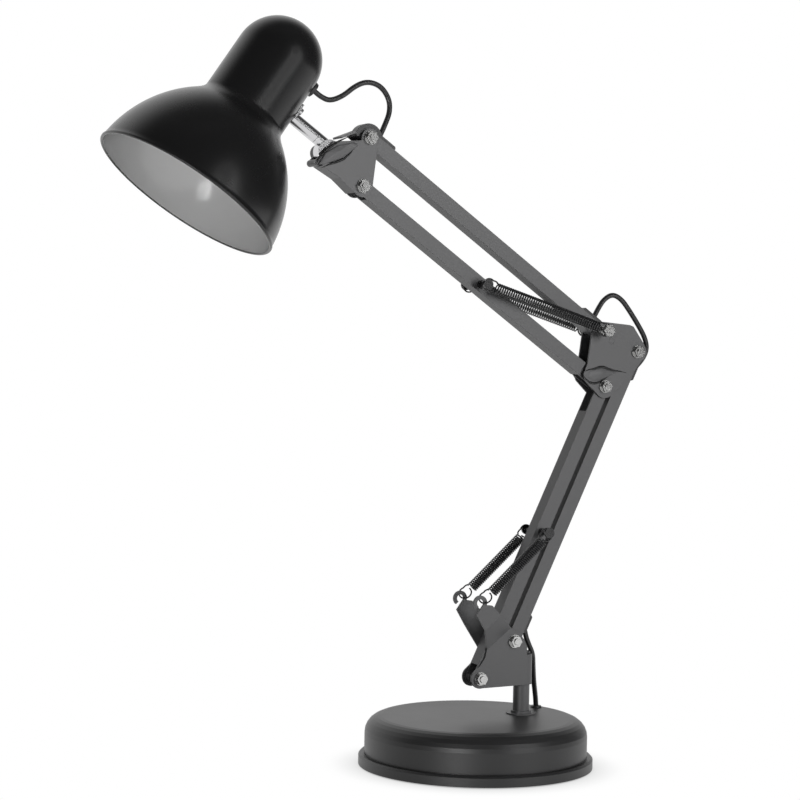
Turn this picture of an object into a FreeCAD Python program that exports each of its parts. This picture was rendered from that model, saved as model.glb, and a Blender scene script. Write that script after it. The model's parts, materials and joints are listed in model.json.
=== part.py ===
"""Accordion desk lamp: a weighted round base, a post, two parallel pairs of bars and a bell shade.

The row frame is in millimetres with its origin on the desk under the middle of the base.  +Z is up.
The two arms swing in the plane Y = 0, where +X points towards the elbow and +Y away from the front.
A place written as two numbers is X and Z in that plane.
"""
import FreeCAD, Part
import math
import os

import Sketcher
from FreeCAD import Placement, Rotation, Vector

os.makedirs("parts", exist_ok=True)
doc = FreeCAD.newDocument("AccordionDeskLamp")

# ---------------------------------------------------------------------------------------------
# Driving sizes: alias, value, what it is
# ---------------------------------------------------------------------------------------------
SIZES = [
    # base
    ("base_radius", 90.0, "outer radius of the ring that the base stands on"),
    ("ring_width", 4.5, "how far that ring stands out from the domed cover"),
    ("base_height", 37.2, "top of the cover above the desk"),
    ("shoulder_radius", 13.0, "rounding between the cover's side and its flat top"),
    ("cover_wall", 1.2, "sheet thickness of the cover"),
    ("ring_height", 8.5, "height of the base ring's top"),
    ("ring_ledge", 5.0, "width of the ring's ledge inside the cover"),
    ("ring_ledge_floor", 5.0, "underside of the ledge above the desk"),
    ("ring_lift", 0.3, "gap between ring and desk, the felt carries the lamp"),
    ("felt_thickness", 1.2, "felt pad"),
    ("felt_inset", 12.0, "felt's edge inside the base ring's"),
    ("plate_thickness", 1.5, "steel bottom plate"),
    ("weight_gap", 8.3, "cast weight's edge inside the cover's wall"),
    ("weight_height", 19.0, "cast weight"),
    ("notch_half", 6.0, "half width of the lead's notch in the weight"),
    ("notch_length", 24.0, "length of that notch inwards from the edge"),
    ("notch_depth", 9.0, "depth of that notch from the top"),
    ("screw_inset", 18.0, "circle of the screws inside the weight's edge"),
    ("base_screw_radius", 2.0, "screw shank"),
    ("base_screw_length", 10.0, "screw under its head"),
    # post
    ("post_offset", 39.4, "post axis from the middle of the base"),
    ("post_radius", 6.35, "steel post"),
    ("post_top", 84.0, "top of the post above the desk"),
    ("collar_radius", 8.0, "collar round the post's foot"),
    ("collar_height", 2.6, "collar round the post's foot"),
    ("collar_flange_radius", 11.6, "thin flange of the collar"),
    ("collar_flange", 0.9, "thickness of the collar's flange"),
    ("locknut_across", 20.0, "nut that clamps the post to the weight, corner to corner"),
    ("locknut_height", 6.0, "same nut"),
    ("grommet_inset", 4.8, "where the lead enters the base, inside the flat top's edge"),
    ("grommet_bearing", 17.7, "degrees of that place from the arm plane"),
    ("grommet_radius", 4.6, "outer radius of a lead grommet"),
    ("grommet_lip", 1.4, "how far a grommet stands proud"),
    ("gland_height", 18.0, "mains lead gland above the desk"),
    ("gland_radius", 5.5, "mains lead gland"),
    ("gland_length", 9.0, "mains lead gland outside the cover"),
    # the arms' linkage
    ("first_pivot_inset", 11.3, "first lower pivot from the post axis"),
    ("first_pivot_height", 94.9, "first lower pivot above the desk"),
    ("lower_pivot_run", 29.2, "second lower pivot behind the first"),
    ("lower_pivot_climb", 27.6, "second lower pivot below the first"),
    ("lower_arm_length", 248.0, "pivot to pivot"),
    ("lower_arm_lean", 25.2, "degrees from upright at rest"),
    ("upper_pivot_run", 5.4, "upper bar's pivot ahead of the shared elbow pivot"),
    ("upper_pivot_climb", 35.8, "upper bar's pivot above the shared elbow pivot"),
    ("upper_arm_length", 257.5, "pivot to pivot"),
    ("upper_arm_rise", 34.7, "degrees from level at rest"),
    ("bar_width", 11.0, "channel bar seen from the front"),
    ("bar_depth", 12.5, "channel bar along Y"),
    ("bar_wall", 1.2, "channel wall"),
    ("tongue_half", 4.75, "half thickness of the narrow bar end inside the forked one"),
    ("tongue_length", 24.0, "length of that narrow end from its pivot"),
    ("tongue_lap", 8.0, "how far the narrow end laps the wide channel"),
    ("fork_cut", 24.0, "length of forked end whose web is cut away"),
    # sheet brackets
    ("sheet", 1.5, "bracket sheet"),
    ("swivel_clearance", 0.08, "radial clearance of the bracket's bush on the post"),
    ("pivot_clearance", 0.08, "radial clearance of a bar on its bolt"),
    ("bush_floor", 61.5, "lower end of the swivel bush above the desk"),
    ("bush_cap", 1.8, "cap of the bush over the post"),
    ("ear_plane", 16.5, "distance of the springs from the arm plane"),
    # fasteners
    ("bolt_radius", 2.5, "pivot bolts"),
    ("nut_across", 9.2, "corner to corner"),
    ("nut_height", 3.4, "pivot nuts"),
    ("bolt_head_height", 3.2, "pivot bolts"),
    ("bolt_tail", 1.1, "bolt end beyond its nut"),
    ("washer_radius", 5.1, "steel washers"),
    ("washer_thickness", 0.9, "steel washers"),
    ("spring_pin_radius", 2.0, "pins that carry the springs"),
    ("spring_pin_head_radius", 4.0, "pin heads"),
    ("spring_pin_head", 1.5, "pin head thickness"),
    ("lower_pin_station", 122.9, "spring pin from the lower pivot of its bar"),
    ("upper_pin_station", 134.8, "spring pin from the shared elbow pivot"),
    ("stud_run", -4.2, "upper spring stud ahead of the shared elbow pivot"),
    ("stud_climb", 43.7, "upper spring stud above the shared elbow pivot"),
    ("stud_head", 3.2, "thickness of the stud's hexagon head"),
    # springs
    ("spring_wire", 1.5, "wire diameter"),
    ("spring_mean_radius", 3.75, "coil radius at the wire's middle"),
    ("lower_spring_turns", 20, "turns of each lower spring"),
    ("upper_spring_turns", 29, "turns of each upper spring"),
    ("ring_radius", 4.9, "end rings of the springs at the wire's middle"),
    ("ring_neck", 0.2, "straight part of the wire between coil and ring"),
    ("ring_lean", 55.0, "degrees by which the lower rings lean out of the arm plane"),
    ("hook_run", -6.1, "eye of the lower spring hooks ahead of the first pivot's left mate"),
    ("hook_climb", 59.3, "eye of the lower spring hooks above that pivot"),
    ("hook_play", 0.3, "gap between a spring's end ring and the pin it hangs on"),
    ("hook_hang", 1.1, "lowest point of a lower ring's middle above the hook's eye"),
    ("hook_outer", 5.8, "outer radius of the C-shaped hook"),
    ("hook_inner", 2.9, "inner radius of the C-shaped hook"),
    # lead and clips
    ("lead_radius", 2.0, "round lead"),
    ("clip_rise", 2.7, "how far a lead clip stands out of its channel"),
    ("clip_side_gap", 0.2, "clip to channel wall"),
    ("clip_nose_radius", 11.0, "rounded nose of the head end's clip"),
    ("lead_way_play", 0.06, "radial play of the lead in a clip's bore"),
    ("lead_seat", 2.0, "lead axis from the bar's middle, towards the web"),
    # head
    ("tilt_back", 31.7, "tilt pivot behind the head's first pivot"),
    ("tilt_drop", 11.6, "tilt pivot below the head's first pivot"),
    ("barrel_radius", 9.0, "knuckle barrel"),
    ("barrel_half", 4.9, "half thickness of the barrel"),
    ("nose_half_gap", 5.0, "half the gap between the cheeks at the nose"),
    ("rod_radius", 4.75, "chrome rod"),
    ("rod_rise", 3.5, "rod axis above the tilt pivot, along the shade's axis"),
    ("swivel_joint", 13.7, "swivel face from the tilt pivot along the rod"),
    ("spigot_radius", 3.0, "reduced end of the rod inside the knuckle"),
    ("spigot_length", 10.0, "reduced end of the rod inside the knuckle"),
    ("thumb_nut_radius", 6.5, "knurled nut of the tilt joint"),
    ("thumb_nut_length", 8.0, "knurled nut of the tilt joint"),
    # shade
    ("shade_tilt", 34.6, "degrees between the shade's axis and upright"),
    ("shade_reach", 69.8, "tilt pivot from the shade's axis"),
    ("shade_drop", 91.4, "rim plane below the tilt pivot along the shade's axis"),
    ("rim_radius", 72.0, "shade mouth"),
    ("dome_radius", 32.5, "cap of the shade"),
    ("shade_height", 154.0, "rim to top"),
    ("shade_wall", 1.0, "spun sheet"),
    ("bell_top", 66.0, "where the bell meets the neck's fillet"),
    ("bell_top_radius", 39.6, "bell radius there"),
    ("bell_middle", 36.0, "station of a middle point of the bell"),
    ("bell_middle_radius", 62.4, "bell radius there"),
    ("neck_station", 76.0, "lower end of the straight cap"),
    ("rim_bead", 1.3, "radius of the rolled rim"),
    ("cord_station", 121.4, "lead bush above the rim plane"),
    ("bush_radius", 6.2, "outer radius of the lead's bush in the shade"),
    ("bush_lip", 2.6, "how far that bush stands proud"),
    ("bush_grip", 1.8, "groove of that bush, which spans the curved wall"),
    ("screw_rise", 7.6, "lock screw above the rod's axis"),
    ("lock_screw_radius", 2.6, "head of the lock screw"),
    ("holder_radius", 19.5, "lamp holder body"),
    ("holder_mouth", 88.0, "holder's mouth above the rim plane"),
    ("holder_length", 37.0, "wide part of the holder"),
    ("holder_cap_radius", 15.0, "holder's cap"),
    ("holder_cap_length", 11.0, "holder's cap"),
    ("socket_radius", 13.4, "screw shell for an E27 lamp"),
    ("socket_wall", 0.6, "screw shell"),
    ("socket_depth", 26.0, "screw shell"),
    ("clamp_ring_wall", 2.0, "ring that holds the lamp holder"),
    ("clamp_ring_height", 9.0, "same ring"),
]

sheet = doc.addObject("Spreadsheet::Sheet", "Sizes")
for row, (alias, value, meaning) in enumerate(SIZES, start=1):
    sheet.set(f"A{row}", meaning)
    sheet.set(f"B{row}", str(value))
    sheet.setAlias(f"B{row}", alias)
doc.recompute()


class Size:
    """A number that remembers the spreadsheet formula it comes from."""

    def __init__(self, value, formula=None):
        self.value = float(value)
        self.formula = formula if formula is not None else repr(float(value))

    @staticmethod
    def of(other):
        return other if isinstance(other, Size) else Size(other)

    def _join(self, other, sign, value):
        return Size(value, f"({self.formula} {sign} {Size.of(other).formula})")

    def __add__(self, other):
        return self._join(other, "+", self.value + Size.of(other).value)

    def __sub__(self, other):
        return self._join(other, "-", self.value - Size.of(other).value)

    def __mul__(self, other):
        return self._join(other, "*", self.value * Size.of(other).value)

    def __truediv__(self, other):
        return self._join(other, "/", self.value / Size.of(other).value)

    def __radd__(self, other):
        return Size.of(other) + self

    def __rsub__(self, other):
        return Size.of(other) - self

    def __rmul__(self, other):
        return Size.of(other) * self

    def __neg__(self):
        return Size(-self.value, f"(0 - {self.formula})")

    def __float__(self):
        return self.value


def size(alias):
    """The named cell of the spreadsheet, as a Size."""
    return Size(sheet.get(alias), f"Sizes.{alias}")


def cos_of(angle):
    return Size(math.cos(math.radians(angle.value)), f"cos({angle.formula} * 1 deg)")


def sin_of(angle):
    return Size(math.sin(math.radians(angle.value)), f"sin({angle.formula} * 1 deg)")


class Spot:
    """A place in the arm plane."""

    def __init__(self, x, z):
        self.x, self.z = Size.of(x), Size.of(z)

    def moved(self, run, climb):
        return Spot(self.x + run, self.z + climb)

    def along(self, direction, distance, side=0.0):
        """Go a distance along a direction, then aside to its left."""
        cx, cz = direction
        return Spot(self.x + cx * distance - cz * side, self.z + cz * distance + cx * side)

    def at(self, y=0.0):
        return Vector(float(self.x), float(y), float(self.z))


# ---------------------------------------------------------------------------------------------
# The linkage: every pivot follows from the driving sizes
# ---------------------------------------------------------------------------------------------
lean, rise = size("lower_arm_lean"), size("upper_arm_rise")
LOWER_WAY = (sin_of(lean), cos_of(lean))
UPPER_WAY = (-cos_of(rise), sin_of(rise))
LOWER_ANGLE = 90.0 - lean
UPPER_ANGLE = 180.0 - rise

right_foot = Spot(size("post_offset") - size("first_pivot_inset"), size("first_pivot_height"))
left_foot = right_foot.moved(-size("lower_pivot_run"), -size("lower_pivot_climb"))
right_top = right_foot.along(LOWER_WAY, size("lower_arm_length"))
elbow = left_foot.along(LOWER_WAY, size("lower_arm_length"))
upper_root = elbow.moved(size("upper_pivot_run"), size("upper_pivot_climb"))
head_low = elbow.along(UPPER_WAY, size("upper_arm_length"))
head_top = upper_root.along(UPPER_WAY, size("upper_arm_length"))
tilt_pivot = head_top.moved(-size("tilt_back"), -size("tilt_drop"))

shade_lean = size("shade_tilt")
SHADE_UP = (sin_of(shade_lean), cos_of(shade_lean))
rim_centre = tilt_pivot.along(SHADE_UP, -size("shade_drop"), size("shade_reach"))

cover_radius = size("base_radius") - size("ring_width")
cover_flat = cover_radius - size("shoulder_radius")
weight_radius = cover_radius - size("cover_wall") - size("weight_gap")
base_lead_x = (cover_flat - size("grommet_inset")) * cos_of(size("grommet_bearing"))
base_lead_y = (cover_flat - size("grommet_inset")) * sin_of(size("grommet_bearing"))
spring_stud = elbow.moved(size("stud_run"), size("stud_climb"))
hook_eye = left_foot.moved(size("hook_run"), size("hook_climb"))

cheek_inner = size("post_radius") + size("swivel_clearance")
cheek_outer = cheek_inner + size("sheet")
bar_half = size("bar_depth") / 2
bolt_hole = size("bolt_radius") + size("pivot_clearance")


# ---------------------------------------------------------------------------------------------
# Helpers for bodies, sketches and primitives
# ---------------------------------------------------------------------------------------------
PARTS = []


def bind(thing, name, value):
    """Tie a property to the spreadsheet, or set it where the value is a plain number."""
    thing.setExpression(name, Size.of(value).formula)


def keep(thing, label):
    """Mark a finished object as a sub-part of this name."""
    thing.Label = label
    PARTS.append(thing)
    return thing


def put(thing, spot=None, y=0.0, turn=0.0, axis=(0, 1, 0)):
    """Place an object at a spot of the arm plane, turned about an axis."""
    spot = spot or Spot(0.0, 0.0)
    turn = Size.of(turn)
    thing.Placement = Placement(spot.at(y), Rotation(Vector(*axis), turn.value))
    bind(thing, "Placement.Base.x", spot.x)
    bind(thing, "Placement.Base.y", y)
    bind(thing, "Placement.Base.z", spot.z)
    if turn.value:
        bind(thing, "Placement.Rotation.Angle", turn)
    return thing


def new_body(label):
    return keep(doc.addObject("PartDesign::Body", label), label)


def add_sketch(body, role, offset=0.0):
    """A sketch on one of the body's own origin planes, moved along the plane's normal."""
    plane = next(f for f in body.Origin.OriginFeatures if f.Role == role)
    made = body.newObject("Sketcher::SketchObject", f"{body.Name}_outline")
    made.AttachmentSupport = [(plane, "")]
    made.MapMode = "FlatFace"
    bind(made, "AttachmentOffset.Base.z", offset)
    return made


def draw_outline(drawing, corners):
    """A closed outline of straight edges, each corner tied to the spreadsheet."""
    points = [Vector(float(u), float(v), 0) for u, v in corners]
    first = drawing.GeometryCount
    count = len(points)
    for k, point in enumerate(points):
        drawing.addGeometry(Part.LineSegment(point, points[(k + 1) % count]), False)
    for k in range(count):
        here, after = first + k, first + (k + 1) % count
        drawing.addConstraint(Sketcher.Constraint("Coincident", here, 2, after, 1))
    for k, (u, v) in enumerate(corners):
        for kind, value in (("DistanceX", u), ("DistanceY", v)):
            value = Size.of(value)
            if abs(value.value) < 1e-9:
                line = -2 if kind == "DistanceX" else -1
                drawing.addConstraint(Sketcher.Constraint("PointOnObject", first + k, 1, line))
                continue
            number = drawing.addConstraint(
                Sketcher.Constraint(kind, -1, 1, first + k, 1, value.value)
            )
            drawing.setExpression(f"Constraints[{number}]", value.formula)


def draw_circle(drawing, u, v, radius):
    """A circle whose centre and radius are tied to the spreadsheet."""
    centre = Vector(float(u), float(v), 0)
    item = drawing.addGeometry(Part.Circle(centre, Vector(0, 0, 1), float(radius)), False)
    for kind, value in (("DistanceX", u), ("DistanceY", v)):
        value = Size.of(value)
        if abs(value.value) < 1e-9:
            line = -2 if kind == "DistanceX" else -1
            drawing.addConstraint(Sketcher.Constraint("PointOnObject", item, 3, line))
            continue
        number = drawing.addConstraint(Sketcher.Constraint(kind, -1, 1, item, 3, value.value))
        drawing.setExpression(f"Constraints[{number}]", value.formula)
    number = drawing.addConstraint(Sketcher.Constraint("Radius", item, float(radius)))
    drawing.setExpression(f"Constraints[{number}]", Size.of(radius).formula)


def pad(body, drawing, length, both_ways=False):
    made = body.newObject("PartDesign::Pad", f"{body.Name}_pad")
    made.Profile = drawing
    made.Midplane = both_ways
    bind(made, "Length", length)
    return made


def pocket(body, drawing, length=None, both_ways=True):
    made = body.newObject("PartDesign::Pocket", f"{body.Name}_pocket")
    made.Profile = drawing
    made.Midplane = both_ways
    if length is None:
        made.Type = "ThroughAll"
    else:
        bind(made, "Length", length)
    return made


def disc_pad(body, role, u, v, radius, length, offset=0.0, both_ways=False):
    drawing = add_sketch(body, role, offset)
    draw_circle(drawing, u, v, radius)
    return pad(body, drawing, length, both_ways)


def disc_pocket(body, role, places, radius, length=None, offset=0.0):
    drawing = add_sketch(body, role, offset)
    for u, v in places:
        draw_circle(drawing, u, v, radius)
    return pocket(body, drawing, length)


def revolve(body, corners, groove=False):
    """Turn an outline of radius and height about the body's Z axis."""
    drawing = add_sketch(body, "XZ_Plane")
    draw_outline(drawing, corners)
    kind = "PartDesign::Groove" if groove else "PartDesign::Revolution"
    made = body.newObject(kind, f"{body.Name}_turned")
    made.Profile = drawing
    made.ReferenceAxis = (drawing, ["V_Axis"])
    made.Angle = 360.0
    return made


def cylinder(name, radius, length):
    made = doc.addObject("Part::Cylinder", name)
    bind(made, "Radius", radius)
    bind(made, "Height", length)
    return made


def box(name, length, width, height):
    made = doc.addObject("Part::Box", name)
    bind(made, "Length", length)
    bind(made, "Width", width)
    bind(made, "Height", height)
    return made


def hexagon(name, corner_to_corner, length):
    made = doc.addObject("Part::Prism", name)
    made.Polygon = 6
    bind(made, "Circumradius", corner_to_corner / 2)
    bind(made, "Height", length)
    return made


def across(thing, spot, start, turn=90.0):
    """Lay a primitive along Y, from a starting depth towards the back."""
    return put(thing, spot, start, turn=-turn, axis=(1, 0, 0))


def fuse(label, *things):
    made = doc.addObject("Part::MultiFuse", label)
    made.Shapes = list(things)
    return made


def cut(label, base, tool):
    made = doc.addObject("Part::Cut", label)
    made.Base, made.Tool = base, tool
    return made


def group(label, things):
    """Identical loose pieces that share one node."""
    made = doc.addObject("Part::Compound", label)
    made.Links = list(things)
    return keep(made, label)


def free_shape(label, shape):
    made = doc.addObject("Part::Feature", label)
    made.Shape = shape
    return keep(made, label)


# ---------------------------------------------------------------------------------------------
# Base: ring, cover, plate, weight, felt, post and the lead's two glands
# ---------------------------------------------------------------------------------------------
def make_base():
    ring_top, lift = size("ring_height"), size("ring_lift")
    cover_r, wall, top = cover_radius, size("cover_wall"), size("base_height")
    ledge_r = cover_r - wall - size("ring_ledge")
    felt, plate = size("felt_thickness"), size("plate_thickness")
    plate_top = felt + plate

    ring = new_body("base_ring")
    revolve(ring, [
        (cover_r, lift), (size("base_radius"), lift), (size("base_radius"), ring_top - 1.5),
        (size("base_radius") - 1.5, ring_top), (ledge_r, ring_top),
        (ledge_r, size("ring_ledge_floor")), (cover_r, size("ring_ledge_floor")),
    ])

    cover = new_body("base_cover")
    bend, inner = size("shoulder_radius"), size("shoulder_radius") - wall
    flat = cover_flat
    step = 15
    turns = [Size(math.radians(a)) for a in range(step, 90, step)]
    outside = [(flat + bend * math.cos(a.value), top - bend + bend * math.sin(a.value))
               for a in turns]
    inside = [(flat + inner * math.cos(a.value), top - bend + inner * math.sin(a.value))
              for a in reversed(turns)]
    revolve(cover, [
        (cover_r - wall, ring_top), (cover_r, ring_top), (cover_r, top - bend), *outside,
        (flat, top), (0.0, top), (0.0, top - wall), (flat, top - wall), *inside,
        (cover_r - wall, top - bend),
    ])
    post_x = size("post_offset")
    disc_pocket(cover, "XY_Plane", [(post_x, 0.0)],
                size("post_radius") + 0.1, length=wall * 6, offset=top)
    disc_pocket(cover, "XY_Plane", [(base_lead_x, base_lead_y)],
                size("grommet_radius") - 0.9, length=wall * 6, offset=top)
    disc_pocket(cover, "XZ_Plane", [(0.0, size("gland_height"))],
                size("gland_radius") - 1.0, length=wall * 8, offset=-cover_r)

    bottom = new_body("base_plate")
    disc_pad(bottom, "XY_Plane", 0.0, 0.0, ledge_r + size("ring_ledge") - 0.3, plate, offset=felt)
    circle = weight_radius - size("screw_inset")
    screw_spots = [(circle * math.cos(math.radians(a)), circle * math.sin(math.radians(a)))
                   for a in (90, 210, 330)]
    shank = size("base_screw_radius")
    disc_pocket(bottom, "XY_Plane", screw_spots, shank + 0.2, length=plate * 4, offset=felt)

    pad_body = new_body("felt_pad")
    disc_pad(pad_body, "XY_Plane", 0.0, 0.0, size("base_radius") - size("felt_inset"), felt)
    disc_pocket(pad_body, "XY_Plane", screw_spots, shank * 2 + 0.4, length=felt * 4)

    weight = new_body("base_weight")
    disc_pad(weight, "XY_Plane", 0.0, 0.0, weight_radius, size("weight_height"),
             offset=plate_top)
    disc_pocket(weight, "XY_Plane", [(post_x, 0.0)], size("post_radius") + 0.1,
                length=size("weight_height") * 3, offset=plate_top)
    disc_pocket(weight, "XY_Plane", screw_spots, shank + 0.1,
                length=size("weight_height") * 3, offset=plate_top)

    notch = add_sketch(weight, "XY_Plane", offset=plate_top + size("weight_height"))
    side, inward = size("notch_half"), weight_radius - size("notch_length")
    draw_outline(notch, [(-side, inward), (side, inward), (side, inward * 2), (-side, inward * 2)])
    pocket(weight, notch, size("notch_depth") * 2)

    screws = []
    for number, (u, v) in enumerate(screw_spots, start=1):
        stem = cylinder(f"base_screw_stem_{number}", shank, size("base_screw_length"))
        head = cylinder(f"base_screw_head_{number}", shank * 2, felt - 0.2)
        put(stem, Spot(u, felt), v)
        put(head, Spot(u, 0.2), v)
        screws.append(fuse(f"base_screw_{number}", stem, head))
    group("base_screws", screws)

    post_foot = Spot(post_x, plate_top)
    post = cylinder("post_rod", size("post_radius"), size("post_top") - plate_top)
    keep(put(post, post_foot), "post")

    nut_floor = plate_top + size("weight_height")
    nut = hexagon("locknut_blank", size("locknut_across"), size("locknut_height"))
    bore = cylinder("locknut_bore", size("post_radius") + 0.05, size("locknut_height") * 3)
    put(nut, Spot(post_x, nut_floor))
    put(bore, Spot(post_x, nut_floor - size("locknut_height")))
    keep(cut("post_locknut", nut, bore), "post_locknut")

    collar = new_body("post_collar")
    bore_r = size("post_radius") + 0.05
    flange = size("collar_flange")
    revolve(collar, [
        (bore_r, 0.0), (size("collar_flange_radius"), 0.0), (size("collar_flange_radius"), flange),
        (size("collar_radius"), flange), (size("collar_radius"), size("collar_height")),
        (bore_r, size("collar_height")),
    ])
    put(collar, Spot(post_x, top))

    grommet = make_grommet("base_grommet", size("grommet_radius"), size("grommet_lip"), wall)
    put(grommet, Spot(base_lead_x, top), base_lead_y)

    gland = new_body("mains_gland")
    neck, rim = size("gland_radius") - 1.1, size("gland_radius")
    hole, out = size("lead_radius") + 1.0, size("gland_length")
    revolve(gland, [
        (hole, -wall * 4), (neck, -wall * 4), (neck, 0.3), (rim, 0.3), (rim, out * 0.4),
        (neck - 0.3, out), (hole, out),
    ])
    put(gland, Spot(0.0, size("gland_height")), cover_r, turn=-90.0, axis=(1, 0, 0))


def make_grommet(label, outer, lip, groove):
    """A rubber ring through a sheet: its groove holds the sheet, its lip stands on the outside."""
    body = new_body(label)
    hole, neck, inner = size("lead_radius") + 0.05, size("grommet_radius") - 1.0, Size(1.4)
    revolve(body, [
        (hole, -groove - inner), (outer, -groove - inner), (outer, -groove), (neck, -groove),
        (neck, 0.0), (outer, 0.0), (outer - 0.6, lip), (hole, lip),
    ])
    return body


# ---------------------------------------------------------------------------------------------
# Channel bars: rounded ends, a web on one side, open on the other
# ---------------------------------------------------------------------------------------------
def make_bar(label, start, angle, length, cut_start, cut_end, holes, narrow_start=False):
    """A channel bar along its own X from its first pivot; its web is on the +Z side."""
    body = new_body(label)
    half, wall, width = size("bar_width") / 2, size("bar_wall"), size("bar_width")
    depth = size("bar_depth")
    outline = add_sketch(body, "XZ_Plane")
    draw_outline(outline, [(0.0, -half), (length, -half), (length, half), (0.0, half)])
    pad(body, outline, depth, both_ways=True)
    disc_pad(body, "XZ_Plane", 0.0, 0.0, half, depth, both_ways=True)
    disc_pad(body, "XZ_Plane", length, 0.0, half, depth, both_ways=True)
    trough = add_sketch(body, "XZ_Plane")
    draw_outline(trough, [
        (-width, -width), (length + width, -width), (length + width, half - wall),
        (-width, half - wall),
    ])
    pocket(body, trough, depth - wall * 2)
    for reach, cut_length in ((-1, cut_start), (1, cut_end)):
        edge = cut_length if reach < 0 else length - cut_length
        beyond = -width if reach < 0 else length + width
        low, high = (beyond, edge) if reach < 0 else (edge, beyond)
        window = add_sketch(body, "XZ_Plane")
        draw_outline(window, [(low, half - wall * 1.5), (high, half - wall * 1.5),
                              (high, width), (low, width)])
        pocket(body, window, depth - wall * 2)
    if narrow_start:
        make_tongue(body)
    disc_pocket(body, "XZ_Plane", [(0.0, 0.0), (length, 0.0)], bolt_hole)
    if holes:
        disc_pocket(body, "XZ_Plane", [(station, 0.0) for station in holes],
                    size("spring_pin_radius") + 0.05)
    put(body, start, turn=-angle)
    return body


def make_tongue(body):
    """Swap the bar's first stretch for a narrower channel that fits inside a forked end."""
    half, wall, width = size("bar_width") / 2, size("bar_wall"), size("bar_width")
    reach, thin = size("tongue_length"), size("tongue_half")
    beyond = reach + size("tongue_lap")
    clear = add_sketch(body, "XZ_Plane")
    draw_outline(clear, [(-width, -width), (reach, -width), (reach, width), (-width, width)])
    pocket(body, clear, size("bar_depth") * 2)
    for side in (-1, 1):
        joggle = add_sketch(body, "XZ_Plane", offset=(thin - wall) if side > 0 else -thin)
        draw_outline(joggle, [(0.0, -half), (beyond, -half), (beyond, half), (0.0, half)])
        pad(body, joggle, wall)
        disc_pad(body, "XZ_Plane", 0.0, 0.0, half, wall,
                 offset=(thin - wall) if side > 0 else -thin)
        step = add_sketch(body, "XZ_Plane", offset=thin - 0.2 if side > 0 else -bar_half + wall - 0.2)
        draw_outline(step, [(reach, -half), (beyond, -half), (beyond, half),
                            (reach, half)])
        pad(body, step, bar_half - wall - thin + 0.4)


def make_arms():
    lower, upper = size("lower_arm_length"), size("upper_arm_length")
    make_bar("lower_right_bar", right_foot, LOWER_ANGLE, lower, Size(9.0), Size(9.0), [])
    make_bar("lower_left_bar", left_foot, LOWER_ANGLE, lower, Size(9.0), size("fork_cut"),
             [size("lower_pin_station")])
    make_bar("upper_lower_bar", elbow, UPPER_ANGLE, upper, Size(9.0), Size(9.0),
             [size("upper_pin_station")], narrow_start=True)
    make_bar("upper_upper_bar", upper_root, UPPER_ANGLE, upper, Size(9.0), Size(9.0), [])


# ---------------------------------------------------------------------------------------------
# Fasteners
# ---------------------------------------------------------------------------------------------
def make_fasteners(label, spots):
    """Bolts with rear heads, and washers and nuts at the front, one of each per pivot."""
    tail_end = cheek_outer + size("washer_thickness") + size("nut_height") + size("bolt_tail")
    bolts, nuts, washers = [], [], []
    for number, spot in enumerate(spots, start=1):
        name = f"{label}_{number}"
        stem = cylinder(f"{name}_stem", size("bolt_radius"), tail_end + cheek_outer)
        across(stem, spot, -tail_end)
        head = hexagon(f"{name}_head", size("nut_across"), size("bolt_head_height"))
        across(head, spot, cheek_outer)
        bolts.append(fuse(f"{name}_bolt", stem, head))
        nut = hexagon(f"{name}_nut_blank", size("nut_across"), size("nut_height"))
        hole = cylinder(f"{name}_nut_bore", size("bolt_radius") + 0.03, size("nut_height") * 3)
        across(nut, spot, size("bolt_tail") - tail_end)
        across(hole, spot, size("bolt_tail") - tail_end - size("nut_height"))
        nuts.append(cut(f"{name}_nut", nut, hole))
        disc = cylinder(f"{name}_washer_blank", size("washer_radius"), size("washer_thickness"))
        eye = cylinder(f"{name}_washer_bore", bolt_hole, size("washer_thickness") * 3)
        across(disc, spot, -cheek_outer - size("washer_thickness"))
        across(eye, spot, -cheek_outer - size("washer_thickness") * 2)
        washers.append(cut(f"{name}_washer", disc, eye))
    group(f"{label}_bolts", bolts)
    group(f"{label}_nuts", nuts)
    group(f"{label}_washers", washers)


def hook_side():
    """How far from the arm plane the outermost side of a spring's end ring reaches, with play."""
    return size("ear_plane") + size("spring_wire") / 2 + size("hook_play")


def make_spring_pin(label, spot):
    """A pin through a bar with a round head at each end, which carries the two springs."""
    reach = hook_side() + size("spring_pin_head")
    stem = across(cylinder(f"{label}_stem", size("spring_pin_radius"), reach * 2), spot, -reach)
    front = cylinder(f"{label}_front", size("spring_pin_head_radius"), size("spring_pin_head"))
    rear = cylinder(f"{label}_rear", size("spring_pin_head_radius"), size("spring_pin_head"))
    across(front, spot, -reach)
    across(rear, spot, reach - size("spring_pin_head"))
    collars = []
    for side, start in (("front", -bar_half - 1.6), ("rear", bar_half + 0.05)):
        ring = cylinder(f"{label}_{side}_collar", size("spring_pin_radius") + 1.2, Size(1.55))
        collars.append(across(ring, spot, start))
    keep(fuse(label, stem, front, rear, *collars), label)


# ---------------------------------------------------------------------------------------------
# Lower bracket: two cheeks folded round the post, with flared ears that end in C-shaped hooks
# ---------------------------------------------------------------------------------------------
def slanted_plate(corners, thickness):
    """A plate of even depth along Y on a plane that is tilted to the arm plane."""
    face = Part.Face(Part.makePolygon(corners + corners[:1]))
    return face.extrude(Vector(0, thickness, 0))


def flat_piece(corners, low, high):
    """A flat plate of this outline in the arm plane, between two depths."""
    face = Part.Face(Part.makePolygon([Vector(x, low, z) for x, z in corners + corners[:1]]))
    return face.extrude(Vector(0, high - low, 0))


def round_piece(spot, radius, low, high):
    return Part.makeCylinder(radius, high - low, spot.at(low), Vector(0, 1, 0))


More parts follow.
